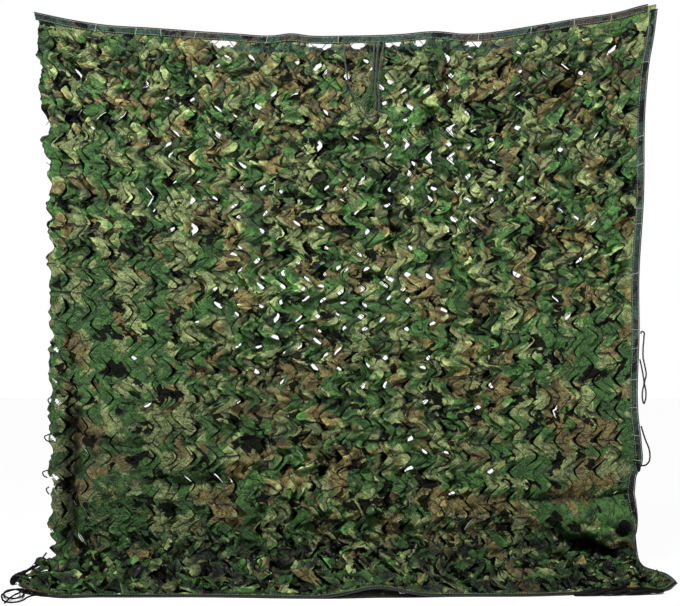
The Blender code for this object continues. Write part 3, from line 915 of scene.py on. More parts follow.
# The unbound side's points, as shares of a slit's depth: low down, and above HIGH_POINTS.
EDGE_LEAF_DEPTHS = (0.30, 0.46)
HIGH_POINTS = 0.95
EDGE_RAGGED = 0.0052
CORNER_SCALLOPS = 0.036  # how deep the unbound side is cut on the floor
CORNER_PITCH = 0.046  # from one of these cuts to the next
CORNER_FADES = (0.06, 0.30, 0.42)  # down the floor: where they are full, start to fade, and end
BLOCK_SPACING = 0.031  # of leaves that lie across each other as blocks
UNCUT = 9.0  # the cut attribute far from any cut. It is below 1 in the dark line beside one
CLEAR_OF_FLOOR = 0.0012  # the cloth's middle comes no nearer to the floor
HELD_BAND = (0.018, 0.050)  # in from a strip: where the cloth stops being flat, and is loose
EDGE_LINE = 0.0015  # width of the dark line along the unbound side
HEM_LINE = 0.0018  # and of the one below the hem
GAP_DEEPEST = 0.030  # of the places where the cloth hangs away, below the strip
# The widest slits' leaves: lift, lap, how sharply they open, over how much of their length, and
# where along it most.
HELD_OPEN = (0.020, -0.019, 0.9, 0.6, 0.0)
# What chance settles for a slit and its leaves, in the order of its draws.
DRAWS = (
    "lift", "more lift", "gap", "under", "skew", "droop", "open", "lap",
    "peak", "wave", "tone", "slip", "shift", "faint", "depth", "hidden",
)
HELD_SHUT = 0.30  # how far a slit's sides lap past its hole, as a share of the hole's width
# Panels of the cloth, in ribbons.
PANELS = [
    ("cloth_left", 1, 10),
    ("cloth_centre", 10, 37),
    ("cloth_right", 37, 47),
    ("cloth_far_right", 47, 56),
]
# Sharp creases of the hung cloth: x and height of one end, of the other, half width, depth back,
# and how much painted shade darkens them.
CREASES = [
    (-0.884, 0.770, -0.888, 0.520, 0.014, 0.010, 0.45),
    (-0.880, 0.500, -0.884, 0.080, 0.026, 0.022, 0.86),
    (-0.864, 0.434, -0.637, 0.386, 0.006, 0.008, 0.65),
    (-0.637, 0.280, -0.365, 0.272, 0.006, 0.005, 0.25),
    (0.634, 0.222, 0.918, 0.239, 0.007, 0.012, 0.75),
    (-0.643, 1.600, -0.640, 1.050, 0.008, 0.005, 0.20),
    (0.320, 1.660, 0.322, 1.480, 0.009, 0.009, 0.45),
    (0.672, 1.200, 0.668, 0.500, 0.008, 0.006, 0.20),
]
# The pocket at the lower right, the bulge over it and other bulges: x, height, half width, half
# height, how far down for each unit to the right, how far back, and how much painted shade darkens it.
SWELLS = [
    (0.794, 0.064, 0.094, 0.023, 0.25, 0.036, 0.95),
    (0.800, 0.140, 0.120, 0.055, 0.10, -0.018, 0.0),
    (0.800, 0.106, 0.120, 0.028, 0.20, -0.032, 0.0),
    (-0.760, 0.440, 0.090, 0.090, 0.0, -0.020, 0.0),
    (-0.740, 0.250, 0.110, 0.080, 0.0, -0.018, 0.0),
]
SWEPT_FORWARD = -0.10  # the creases and swells end where the cloth has swept this far forward
BACK_LIMIT = 0.067  # nothing reaches further back
# Painted shade: how much darker the cloth on the floor is made.
FOOT_PAINTED_SHADE = 0.46  # of the cloth on the floor
# Where the slits stand open: x, height above the floor, half width, half height, how much.
OPEN_PLACES = [
    (-0.030, 0.800, 0.360, 0.220, 0.97),
    (0.270, 1.330, 0.290, 0.230, 0.50),
    (-0.250, 1.180, 0.330, 0.250, 0.46),
    (0.680, 1.400, 0.260, 0.230, 0.26),
    (-0.750, 1.520, 0.200, 0.110, 0.10),
    (0.000, 1.560, 1.200, 0.130, 0.34),
    (0.620, 0.960, 0.250, 0.200, 0.16),
    (0.270, 0.480, 0.230, 0.160, 0.30),
    (-0.550, 0.600, 0.200, 0.100, 0.06),
    (0.270, 0.150, 0.140, 0.070, 0.12),
]
# Where the leaves lie loose and jumbled: the same five values.
JUMBLED_PLACES = [
    (0.000, 1.560, 1.300, 0.240, 1.00),
    (0.050, 1.000, 0.620, 0.520, 1.00),
    (0.640, 1.150, 0.420, 0.450, 0.90),
    (-0.780, 1.180, 0.320, 0.200, 0.45),
    (0.080, 0.380, 0.450, 0.260, 0.70),
    (0.000, 0.030, 1.300, 0.085, 1.00),
]
# Where loose leaves lie across each other as blocks: the same.
BLOCKY_PLACES = [
    (0.000, 1.530, 1.300, 0.200, 1.00),
    (0.700, 1.250, 0.320, 0.200, 0.75),
    (0.200, 1.250, 0.420, 0.150, 0.60),
    (0.100, 1.000, 1.300, 0.500, 0.38),
    (0.000, 0.300, 0.600, 0.200, 0.45),
    (0.000, 0.030, 1.300, 0.090, 1.00),
]
# Where the cloth lies smooth and its slits hardly show: the same.
SMOOTH_PLACES = [
    (-0.740, 0.440, 0.120, 0.130, 0.70),
    (-0.740, 0.235, 0.130, 0.070, 0.65),
    (0.780, 0.165, 0.150, 0.085, 0.90),
    (-0.700, 0.690, 0.140, 0.120, 0.60),
    (0.760, 0.700, 0.150, 0.160, 0.45),
    (0.700, 0.330, 0.200, 0.060, 0.40),
]
# Where more of the print is brown: the same.
WARM_PLACES = [
    (-0.050, 1.580, 0.330, 0.160, 1.00),
    (0.620, 1.560, 0.330, 0.140, 0.80),
    (-0.720, 1.500, 0.250, 0.140, 0.70),
    (-0.330, 1.180, 0.270, 0.160, 0.70),
    (0.700, 0.960, 0.130, 0.130, 0.80),
    (-0.800, 0.360, 0.120, 0.120, 0.90),
    (-0.260, 0.400, 0.280, 0.260, 0.80),
    (0.790, 0.420, 0.130, 0.180, 0.80),
    (0.240, 0.160, 0.260, 0.110, 0.80),
    (0.280, 0.850, 0.200, 0.080, 0.60),
]
# Where more of it is green: the same.
GREENER_PLACES = [
    (0.800, 0.160, 0.160, 0.085, 1.00),
    (-0.720, 0.620, 0.170, 0.110, 0.70),
    (-0.700, 0.190, 0.150, 0.100, 0.80),
    (0.000, 0.030, 1.300, 0.080, 0.40),
    (0.160, 1.400, 0.250, 0.120, 0.60),
    (0.700, 0.700, 0.180, 0.110, 0.50),
    (-0.150, 0.700, 0.250, 0.100, 0.40),
    (-0.850, 1.300, 0.100, 0.150, 0.50),
]
# Where more of it is black: the same.
INKY_PLACES = [
    (-0.150, 1.160, 0.110, 0.080, 1.00),
    (-0.050, 1.350, 0.080, 0.040, 1.00),
    (0.250, 1.290, 0.070, 0.050, 1.00),
    (0.710, 1.270, 0.090, 0.050, 1.00),
    (0.480, 1.330, 0.060, 0.040, 1.00),
    (0.600, 1.020, 0.090, 0.040, 1.00),
    (0.560, 0.730, 0.070, 0.060, 1.00),
    (-0.560, 0.570, 0.050, 0.090, 1.00),
    (0.400, 0.570, 0.040, 0.090, 1.00),
    (0.210, 0.250, 0.080, 0.060, 1.00),
    (0.840, 0.600, 0.060, 0.050, 1.00),
    (-0.880, 1.560, 0.060, 0.060, 1.00),
    (-0.740, 0.640, 0.110, 0.025, 1.00),
    (-0.700, 0.930, 0.050, 0.120, 0.90),
    (-0.620, 0.330, 0.070, 0.050, 1.00),
]
# Where its leaves are bent less out of it: the same.
CALM_PLACES = [
    (0.070, 1.560, 0.085, 0.140, 0.92),
    (-0.885, 0.270, 0.055, 0.260, 0.60),
    (0.800, 0.130, 0.130, 0.060, 0.80),
]
# Where painted shade makes it darker: the same.
SHADY_PLACES = [
    (-0.720, 0.260, 0.330, 0.300, 0.26),
    (0.720, 0.200, 0.420, 0.230, 0.14),
    (0.000, 0.250, 0.600, 0.200, 0.06),
    (0.000, 1.640, 1.300, 0.110, 0.22),
]


def field(places, x, height):
    values = np.zeros(x.shape)
    for x0, height0, half_x, half_height, amount in places:
        spot = np.exp(-(((x - x0) / half_x) ** 4) - ((height - height0) / half_height) ** 4)
        values = np.maximum(values, amount * spot)
    return values


def down_share(run):
    hung = np.clip(run / HUNG_RUN, 0, 1)
    return hung + np.clip((run - HUNG_RUN) / FLOOR_RUN, 0, 1)


def lattice():
    """The flat places of the mesh's corners: across and down, in metres."""
    first = PANELS[0][1] * FINE_COLUMNS
    last = RIBBONS * FINE_COLUMNS
    columns = np.arange(first, last + 1)
    step = SLIT_ROW / FINE_ROWS
    above = int(FIRST_SLIT_ROW / step)
    count = int((HUNG_RUN + FLOOR_RUN - FIRST_SLIT_ROW) / step)
    indices = np.arange(-above, count + 1)
    run = FIRST_SLIT_ROW + indices * step
    phase = indices / FINE_ROWS
    wave = 2 * np.abs(2 * (phase / 2 - np.floor(phase / 2 + 0.5))) - 1
    wave = 0.55 * wave + 0.45 * np.sin(math.pi / 2 * wave)  # its points are a little rounded
    zigzag = -wave * RIBBON / 2  # furthest right at even rows and left at odd ones
    run[0], run[-1] = 0, HUNG_RUN + FLOOR_RUN
    # The unbound side is cut less deep than the slits.
    inward = np.clip((columns - first) / (2 * FINE_COLUMNS), 0, 1)[None, :]
    high = smoothstep(DROP - run, HIGH_POINTS - 0.1, HIGH_POINTS + 0.1)[:, None]
    at_edge = EDGE_LEAF_DEPTHS[0] * (1 - high) + EDGE_LEAF_DEPTHS[1] * high
    at_edge = at_edge * (1 + 0.5 * value_noise(0 * run, run, 0.11, 12)[:, None])
    depth = at_edge + (1 - at_edge) * inward
    across = columns * RIBBON / FINE_COLUMNS - RIBBON / 2 + depth * zigzag[:, None]
    across = across - (1 - depth) * RIBBON / 2
    ragged = value_noise(0 * run, run, 0.024, 13) + 0.9 * value_noise(0 * run, run, 0.010, 14)
    across = across + EDGE_RAGGED * ragged[:, None] * np.clip(1 - inward * 2, 0, 1)
    full, fading, gone = (HUNG_RUN + fade for fade in CORNER_FADES)
    at_corner = smoothstep(run, HUNG_RUN, full) * (1 - smoothstep(run, fading, gone))
    scallops = CORNER_SCALLOPS * (0.5 + 0.5 * np.sin(2 * math.pi * run / CORNER_PITCH)) * at_corner
    across = across + scallops[:, None] * (1 - inward)
    # The last ribbon is cut straight at the bound side.
    share = np.clip(columns / FINE_COLUMNS - (RIBBONS - 1), 0, 1)[None, :]
    before = (RIBBONS - 1) * RIBBON - RIBBON / 2 + zigzag[:, None]
    across = np.where(share > 0, before * (1 - share) + CLOTH_WIDTH * share, across)
    return columns, indices, across, np.broadcast_to(run[:, None], across.shape).copy()


# The cloth is made in steps: the flat lattice, the hung surface, the slits, and the crumpling.


def hang(across, run, on_floor):
    """The cloth before it is slit, and how painted shade darkens its creases, hollows and foot."""
    base = surface(across / CLOTH_WIDTH, down_share(run))
    x, height = base[..., 0], base[..., 2] + DROP
    bright = np.ones_like(x)
    wander_x = x + 0.016 * value_noise(x, height, 0.045, 71)
    wander = height + 0.018 * value_noise(x, height, 0.040, 72)
    # Creases and swells move the cloth back or forward, and painted shade darkens the creases and the
    # pocket.
    for crease_x, high, other_x, low, half_width, depth, dark in CREASES:
        fold = ridge(wander_x, wander, crease_x, high, other_x, low, half_width)
        base[..., 1] += depth * fold
        bright *= 1 - dark * fold
    hung = base[..., 1] > SWEPT_FORWARD
    for swell_x, swell_height, half_x, half_height, slant, depth, dark in SWELLS:
        beside = wander_x - swell_x
        above = wander - swell_height + slant * beside
        off = (beside / half_x) ** 2 + (above / half_height) ** 2
        base[..., 1] += depth * np.exp(-off * np.sqrt(off)) * hung
        bright *= 1 - dark * np.exp(-(off**3)) * hung
    # Painted shade on the cloth on the floor and in the shady places.
    bright *= 1 - FOOT_PAINTED_SHADE * on_floor
    bright *= 1 - field(SHADY_PLACES, x, height)
    return base, x, height, bright


def leaf_places(columns, across, run, loose):
    """Where the corners lie, counted in leaves: in the ones that follow the ribbons, each from one
    turn of the zigzag to the next, and in the ones that lie across each other as blocks."""
    strayed = 0.10 + 0.50 * loose
    leaf_across = np.broadcast_to(columns / FINE_COLUMNS, across.shape)
    leaf_across = leaf_across + strayed * value_noise(across, run, 0.045, 531)
    leaf_along = 10 + (run - FIRST_SLIT_ROW) / SLIT_ROW
    leaf_along = leaf_along + strayed * value_noise(across, run, 0.050, 731)
    turned_across = across + 0.014 * value_noise(across, run, 0.040, 532)
    turned_down = run + 0.014 * value_noise(across, run, 0.040, 732)
    block_across = 60 + (turned_across + 0.8 * turned_down) / BLOCK_SPACING
    block_along = 60 + (0.8 * turned_down - turned_across) / BLOCK_SPACING
    return (leaf_across, leaf_along), (block_across, block_along)


def leaf_shape(draw, is_held, openness, slack, quiet, calm):
    """How far a leaf stands out, how far it laps over the next one, or parts from it where that is
    less than nothing, where along its slit it does so most, and how it tapers to the ends."""
    lift = 0.0030 + 0.0030 * draw["lift"] + 0.0280 * slack * (0.2 + 0.8 * draw["more lift"])
    lift = quiet * lift * calm**2
    overlap = 0.0018 + quiet * (0.0012 + 0.0200 * slack * draw["lap"]) + 0.12 * lift
    peak = (draw["peak"] - 0.5) * 1.2 * slack
    sharpness, spread = 1.2, 1.0
    if draw["open"] < openness:
        overlap, spread = -0.012 - 0.014 * draw["gap"], 0.18 + 0.18 * draw["lap"] ** 2
        lift = 0.006 + 0.012 * draw["more lift"]
        peak, sharpness = (draw["peak"] - 0.5) * 1.1, 0.4 + 0.7 * draw["lift"]
    if is_held:
        lift, overlap, sharpness, spread, peak = HELD_OPEN
    # Some leaves lie under the next one.
    elif overlap > 0 and draw["under"] < 0.35 * slack:
        lift = -lift * 0.8
    return lift, overlap, sharpness, spread, peak


def on_side(pair, side):
    """The arrays for one side of a slit and for the other: left is -1 and right is 1."""
    return pair if side < 0 else pair[::-1]


def cells_beside(middle, side, count, width):
    """Columns of corners from a slit's own to one side, as far as the cloth goes."""
    cells = middle + side * np.arange(0, count)
    return cells[(cells >= 0) & (cells < width)]


def cut_slits(columns, indices, openness, loose, smooth, calm, moves, shades, drifts):
    """Cuts every slit and moves, shades and shifts the leaves on both sides of it. Returns how far
    each side's corners are from the nearest cut, and which corners are cut in two."""
    rng = np.random.default_rng(11)
    shape = loose.shape
    cuts = [np.full(shape, UNCUT), np.full(shape, UNCUT)]
    is_cut = np.zeros(shape, bool)
    fine = RIBBON / FINE_COLUMNS
    row_step = SLIT_ROW / FINE_ROWS
    rows_of_slits = int(indices[-1] / FINE_ROWS)
    for column in range(SLIT_COLUMNS + 1):
        for row in range(-1, rows_of_slits + 1):
            points_right = row % 2 == 0
            line = 2 * column + (0 if points_right else 1)
            middle = line * FINE_COLUMNS - columns[0]
            centre = row * FINE_ROWS - indices[0]
            draw = dict(zip(DRAWS, rng.uniform(0, 1, len(DRAWS))))
            if middle <= 0 or middle >= shape[1] - 2:
                continue
            if centre - SLIT_REACH < 5 or centre + SLIT_REACH > shape[0] - 6:
                continue
            way = 1 if points_right else -1
            amount = openness[centre, middle]
            slack = loose[centre, middle]
            is_held = (column, row) in OPEN_SLITS
            if not is_held:
                centre += round((draw["shift"] - 0.5) * 5 * slack)
            quiet = 1 - smooth[centre, middle]
            calm_here = calm[centre, middle]
            lift, overlap, sharpness, spread, peak = leaf_shape(
                draw, is_held, amount, slack, quiet, calm_here
            )
            back = -lift * (0.20 + 0.30 * draw["wave"])
            skew = (draw["skew"] - 0.5) * (0.5 + 2.0 * slack)
            droop = (draw["droop"] - 0.4) * (0.3 * abs(lift) + 0.024 * slack * calm_here)
            droop *= overlap > 0
            rows = np.arange(centre - SLIT_REACH, centre + SLIT_REACH + 1)
            eta = (rows - centre) / SLIT_REACH
            past_peak = (eta - peak) / np.where(eta < peak, 1 + peak, 1 - peak)
            bell = np.clip(1 - past_peak**2, 0, 1) ** 1.2 * (1 + skew * eta)
            if overlap > 0:
                parting = bell
            else:
                parting = np.clip(1 - ((eta - peak) / spread) ** 2, 0, 1) ** sharpness
                parting = parting * (1 - 0.45 * np.abs(np.sin(7 * draw["wave"] + 2.3 * rows)))
                parting = parting * (np.abs(eta) < 1) - HELD_SHUT * bell * (parting == 0)
            tone = (draw["tone"] - 0.5) * (0.30 + 0.70 * slack) * quiet
            slip = (draw["slip"] - 0.5) * (0.03 + 0.12 * slack)
            # Painted highlight: the rim lightens the lifted leaf's edge beside the slit.
            rim = (0.30 + 0.80 * slack) * draw["wave"] ** 2 * quiet
            # Painted shadow: the crevice sets how wide the dark line is where a leaf laps over the
            # next.
            crevice = 1 - 0.75 * slack * (draw["faint"] < 0.55)
            crevice *= 0.35 + 0.65 * min(1, slack + 2.2 * draw["depth"])
            hidden = draw["hidden"] < 0.85 * smooth[centre, middle]
            for side, height_there in ((-way, lift), (way, back)):
                cells = cells_beside(middle, side, FINE_COLUMNS + 1, shape[1])
                away = np.abs(cells - middle) * fine / FLAP
                fall = np.clip(1 - away, 0, 1)
                out = bell[:, None] * height_there * fall[None, :] ** (1.8 - 0.6 * slack)
                share = 0.7 if side == -way else 0.3
                sideways = -side * share * overlap * parting[:, None] * fall[None, :] ** 2
                downward = bell[:, None] * droop * fall[None, :] ** 1.5
                move = np.stack([sideways, downward, out], axis=-1)
                soft = bell[:, None] * fall[None, :]
                leaf = 1.0 if side == -way else -0.4
                # Painted highlight along the leaf's edge, added to its shade.
                lit = rim * bell[:, None] * np.clip(1 - np.abs(cells - middle) / 2, 0, 1)[None, :]
                lit = lit * (side == -way)
                # The corners on the slit itself belong to one side of it only.
                apart = cells != middle
                for pair, change in (
                    (moves, move),
                    (shades, soft * leaf * tone + lit),
                    (drifts, np.clip(1.8 * soft, 0, 1) * leaf * slip),
                ):
                    own, other = on_side(pair, side)
                    own[rows[:, None], cells[None, :]] += change
                    other[rows[:, None], cells[apart][None, :]] += change[:, apart]
            is_cut[rows[1:-1], middle] = True
            near_rows = np.arange(max(rows[0] - 3, 0), min(rows[-1] + 4, shape[0]))
            uneven = rng.uniform(1 - 0.6 * slack, 1 + 0.5 * slack, len(near_rows))
            past = np.clip(np.abs(near_rows - centre) - SLIT_REACH, 0, None) * row_step
            taper = (near_rows - centre) / (SLIT_REACH * (1 - 0.50 * slack))
            taper = (taper - peak) / np.where(taper < peak, 1 + peak, 1 - peak)
            taper = np.clip(1 - taper**2, 0, 1) ** 0.7
            for side in (-1, 1):
                # Painted shadow: the side that a leaf lies over is dark for further, beyond the thin
                # cut line.
                under = side == way if lift > 0 else side != way
                deep = 0.0008 + 0.0046 * quiet + 0.0140 * slack * draw["lift"] ** 2
                width = 0.0012 + (deep + max(overlap, 0) * 0.55) * taper * under * crevice * uneven
                width = width * (0.2 if hidden else 1.0)
                cells = cells_beside(middle, side, 5, shape[1])
                beside = np.abs(cells - middle) * fine * ARM_SLOPE
                near = np.hypot(past[:, None], beside[None, :]) / width[:, None]
                own, other = on_side(cuts, side)
                window = np.ix_(near_rows, cells)
                own[window] = np.minimum(own[window], near)
                apart = cells != middle
                window = np.ix_(near_rows, cells[apart])
                other[window] = np.minimum(other[window], near[:, apart])
    return cuts, is_cut


def cloth():
    """The slit cloth: its corners on the left and right sides of the slits, and their values."""
    columns, indices, across, run = lattice()
    on_floor = smoothstep(run, HUNG_RUN - 0.04, HUNG_RUN + 0.08)
    base, x, height, bright = hang(across, run, on_floor)
    warm = field(WARM_PLACES, x, height) - field(GREENER_PLACES, x, height)
    inky = field(INKY_PLACES, x, height)
    calm = 1 - field(CALM_PLACES, x, height)
    openness = field(OPEN_PLACES, x, height)
    openness = openness * (1 + 0.7 * value_noise(across, run, 0.16, 5))
    loose = field(JUMBLED_PLACES, x, height) * (0.80 + 0.35 * value_noise(across, run, 0.20, 8))
    smooth = field(SMOOTH_PLACES, x, height)
    loose = np.clip(0.28 + loose, 0, 1) * (1 - smooth)
    blocky = field(BLOCKY_PLACES, x, height) + 0.22 * value_noise(across, run, 0.080, 15)
    blocky = smoothstep(blocky, 0.40, 0.60)
    on_leaf, on_block = leaf_places(columns, across, run, loose)

    # How the corners move: across, down and out of the cloth, on each side of a slit.
    moves = [np.zeros(across.shape + (3,)) for _ in range(2)]
    # Painted light and shade: the shade holds the painted shade from hang and a random tone, and
    # crumple values lighten and darken facets and the foot as if lit.
    shade = bright * (1 + 0.15 * value_noise(across, run, 0.045, 7))
    rumple = crumple(across, run, 0.050, 29) + 0.5 * crumple(across, run, 0.024, 30)
    shade = shade * (1 - 0.34 * smooth * rumple)
    shade = shade * (1 + (0.26 + 0.12 * loose) * crumple(across, run, 0.019, 33))
    shade = shade * (1 + 1.35 * on_floor * crumple(across, run, 0.027, 34))
    shades = [shade.copy(), shade.copy()]
    drift = 0.010 * value_noise(across, run, 0.050, 9)
    drifts = [drift.copy(), drift.copy()]
    cuts, is_cut = cut_slits(
        columns, indices, openness, loose, smooth, calm, moves, shades, drifts
    )

    # Loose cloth between the slits is crumpled too.
    lean = leaning(*on_leaf, 31)
    lean = lean + blocky * (leaning(*on_block, 32) - lean)
    bend = 0.0012 + 0.0092 * loose * calm
    slide = 0.0014 + 0.0090 * loose
    jumble = []
    for seed in (21, 22):
        broad = value_noise(across, run, 0.080, seed)
        jumble.append(slide * (broad + 0.45 * value_noise(across, run, 0.030, seed + 6)))
    jumble.append(bend * (lean + 0.55 * crumple(across, run, 0.022, 24)))
    jumble = np.stack(jumble, axis=-1)
    jumble[..., 2] += 0.0090 * smooth * rumple
    wrinkle = crumple(across, run, 0.016, 25) + 0.5 * value_noise(across, run, 0.010, 26)
    jumble[..., 2] += (0.0008 + 0.0012 * loose) * wrinkle

    # Everything lies flat in the strips.
    to_bound = np.minimum(run, np.minimum(CLOTH_WIDTH - across, HUNG_RUN + FLOOR_RUN - run))
    held = smoothstep(to_bound, *HELD_BAND)[..., None]
    right_way = unit(np.gradient(base, axis=1))
    down_way = unit(np.gradient(base, axis=0))
    out_way = unit(np.cross(down_way, right_way))
    sides = []
    for move in moves:
        move = (move + jumble) * held
        place = base + right_way * move[..., :1] + down_way * move[..., 1:2]
        place = place + out_way * move[..., 2:]
        place[..., 1] = np.minimum(place[..., 1], BACK_LIMIT)
        place[..., 2] = np.maximum(place[..., 2], CLEAR_OF_FLOOR - DROP)
        sides.append(place)
    flats = [np.stack([across, run, drift], axis=-1) for drift in drifts]
    is_cut &= held[..., 0] > 0.02
    leaf = np.stack([*on_leaf, loose * calm * (1 - blocky)], axis=-1)
    block = np.stack([*on_block, loose * calm * blocky], axis=-1)
    values = (flats, cuts, shades, warm, inky, leaf, block)
    return columns, sides, is_cut, values, across, run


# The cloth's own turned-over hem, below its strip: how far down it starts and ends, and the x
# over which it comes in at the left and goes at the right.
HEM_START, HEM_END = 0.031, 0.047
HEM_LEFT = (-0.42, -0.34)
HEM_RIGHT = (0.50, 0.62)


def gap_foot(across, x):
    """How far below the top edge the cloth starts, where it hangs away from its strip."""
    foot = np.zeros_like(across)
    for middle, width, depth in TOP_GAPS:
        off = np.abs(x - middle) / (width / 2)
        uneven = 0.90 + 0.45 * value_noise(x, x, 0.017, 61)
        curve = BINDING_WIDTH - BINDING_COVER + depth * uneven * np.clip(1 - off**4, 0, 1) ** 0.5
        foot = np.where(off < 1, np.maximum(foot, curve), foot)
    return foot


# Small holes near the unbound side: how far in, height, radius.
SIDE_HOLES = [
    (0.024, 0.533, 0.0065),
    (0.013, 0.415, 0.0055),
    (0.026, 0.290, 0.0070),
    (0.014, 0.264, 0.0050),
    (0.018, 0.600, 0.0050),
    (0.020, 0.700, 0.0055),
    (0.012, 0.120, 0.0055),
]


def add_panels():
    columns, sides, is_cut, (flats, cuts, shades, warm, inky, leaf, block), across, run = cloth()
    # Corners above a gap's foot are drawn down to it, and the faces above go.
    x = sides[0][..., 0]
    foot = gap_foot(across, x)
    inside = (run < foot) & (run > 0.001)
    lowered = np.where(inside, foot - run, 0)
    for places in sides:
        places[..., 2] -= lowered
    edge = (across - across[:, :1]) * ARM_SLOPE / EDGE_LINE
    below_hem = np.abs(run - HEM_END) / HEM_LINE
    hem = smoothstep(run, HEM_START - 0.004, HEM_START) * (run < HEM_END)
    hem = hem * smoothstep(x, *HEM_LEFT) * (1 - smoothstep(x, *HEM_RIGHT))
    below_hem = np.where(hem > 0.3, below_hem, UNCUT)
    cuts = [np.minimum(np.minimum(np.where(inside, 0, cut), edge), below_hem) for cut in cuts]
    for name, start, end in PANELS:
        low, high = start * FINE_COLUMNS - columns[0], end * FINE_COLUMNS - columns[0]
        window = slice(low, high + 1)
        count_rows, count_columns = across.shape[0], high - low + 1
        size = count_rows * count_columns
        first = np.arange(size).reshape(count_rows, count_columns)
        second = first.copy()
        split = is_cut[:, window].copy()
        split[:, 0] = split[:, -1] = False
        second[split] = size + np.arange(np.count_nonzero(split))
        left_places, right_places = sides[0][:, window].copy(), sides[1][:, window]
        # At its first column a panel has only the side to the right.
        left_places[:, 0] = right_places[:, 0]
        verts = np.vstack([left_places.reshape(-1, 3), right_places[split]])
        faces = np.stack(
            [second[:-1, :-1], first[:-1, 1:], first[1:, 1:], second[1:, :-1]], axis=-1
        )
        gone = inside[:, window]
        gone = gone[:-1, :-1] & gone[:-1, 1:] | (gone[1:, :-1] & gone[1:, 1:])
        gone &= run[:-1, window][:, :-1] < BINDING_WIDTH + GAP_DEEPEST
        spot_x, spot_height = left_places[..., 0], left_places[..., 2] + DROP
        for inward, height, radius in SIDE_HOLES:
            from_side = spot_x - float(left_side(np.array([height]))[0]) - inward
            hole = np.hypot(from_side, spot_height - height) < radius
            gone |= hole[:-1, :-1] | hole[1:, 1:]
        faces = faces[~gone].reshape(-1, 4)[:, ::-1]

        def both(values, others=None):
            part = values[:, window]
            other = part if others is None else others[:, window]
            return np.concatenate([part.reshape((-1,) + part.shape[2:]), other[split]])

        places = both(*flats)
        uv = np.column_stack(
            [
                (places[:, 0] - places[:, 0].min()) / (HUNG_RUN + FLOOR_RUN),
                1 - places[:, 1] / (HUNG_RUN + FLOOR_RUN),
            ]
        )
        attributes = {
            "flat": places,
            "cut": both(*cuts),
            "shade": both(*shades),
            "hem": both(hem),
            "warm": both(warm),
            "inky": both(inky),
            "leaf": both(leaf),
            "block": both(block),
        }
        piece = build(name, verts, faces, leaf_material, attributes, uv)
        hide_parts("leaf_cloth")


add_panels()

# ---------------------------------------------------------------- strips and edge cords

STRIP_STEP = 0.008
EDGE_CORD_STEP = 0.0045
STITCH_PITCH = 0.0085
STITCH_INSET = 0.0035  # from the strip's mouth
THREAD = 0.0005  # radius of a stitch's thread
TIE = 0.0008  # and of a tie
STITCH_MARGIN = 0.010  # from the strip's ends
# A stitch's points: how far along it, and how far in front of the strip's middle.
STITCH = [(0.0, 0.0014), (0.0012, 0.0021), (0.0045, 0.0021), (0.0057, 0.0014)]
TIE_REACH, TIE_RISE = 0.0128, 0.0027  # from a tie's middle, across the strip and out of its face
TIE_LEAN = 0.004
STRIP_HALF = 0.0016  # half the strip's thickness away from its fold
# Each strip's ends along its edge, as shares of the width or in metres, and its length.
STRIP_ENDS = {
    "top": (0.0, 0.9865, 1.97),
    "right": (0.014, HUNG_RUN + FLOOR_RUN - 0.030, 2.08),
    "foot": (0.038, 1.0, 1.92),
}
INSIDE = 0.02  # how far in from its edge the cloth shows which way is out of it
# A strip's section, from the front of its mouth round the fold to the back of the mouth: share of
# its width, which face, and thickness.
STRIP_SECTION = [
    (0.00, 1.0, 0.25),
    (0.03, 1.0, 1.0),
    (0.20, 1.0, 1.05),
    (0.45, 1.0, 0.95),
    (0.70, 1.0, 1.05),
    (0.90, 1.0, 1.15),
    (0.98, 1.0, 0.70),
    (1.00, 1.0, 0.0),
    (0.98, -1.0, 0.70),
    (0.90, -1.0, 1.15),
    (0.50, -1.0, 1.00),
    (0.03, -1.0, 1.0),
    (0.00, -1.0, 0.25),
]
# Between these heights painted shade darkens the right strip, so that it looks turned under and shows
# only its dark fold.
PAINTED_SHADE_LOW, PAINTED_SHADE_HIGH = (0.180, 0.200), (0.300, 0.312)


def edge_line(kind):
    """Points along a bound edge, the way out of the cloth, and the way out of its face."""
    start, end, length = STRIP_ENDS[kind]
    place = np.linspace(start, end, round(length / STRIP_STEP))
    if kind == "top":
        points, inner = surface(place, 0.0), surface(place, INSIDE / HUNG_RUN)
    elif kind == "right":
        down = down_share(place)
        points, inner = surface(1.0, down), surface(1.0 - INSIDE / CLOTH_WIDTH, down)
    else:
        points, inner = surface(place, 2.0), surface(place, 2.0 - INSIDE / FLOOR_RUN)
    out = unit(points - inner)
    normal = unit(np.cross(np.gradient(points, axis=0), out))
    facing = np.array([0.0, -1.0, 0.0]) if kind != "foot" else np.array([0.0, 0.0, 1.0])
    if np.mean(normal @ facing) < 0:
        normal = -normal
    return points, out, normal


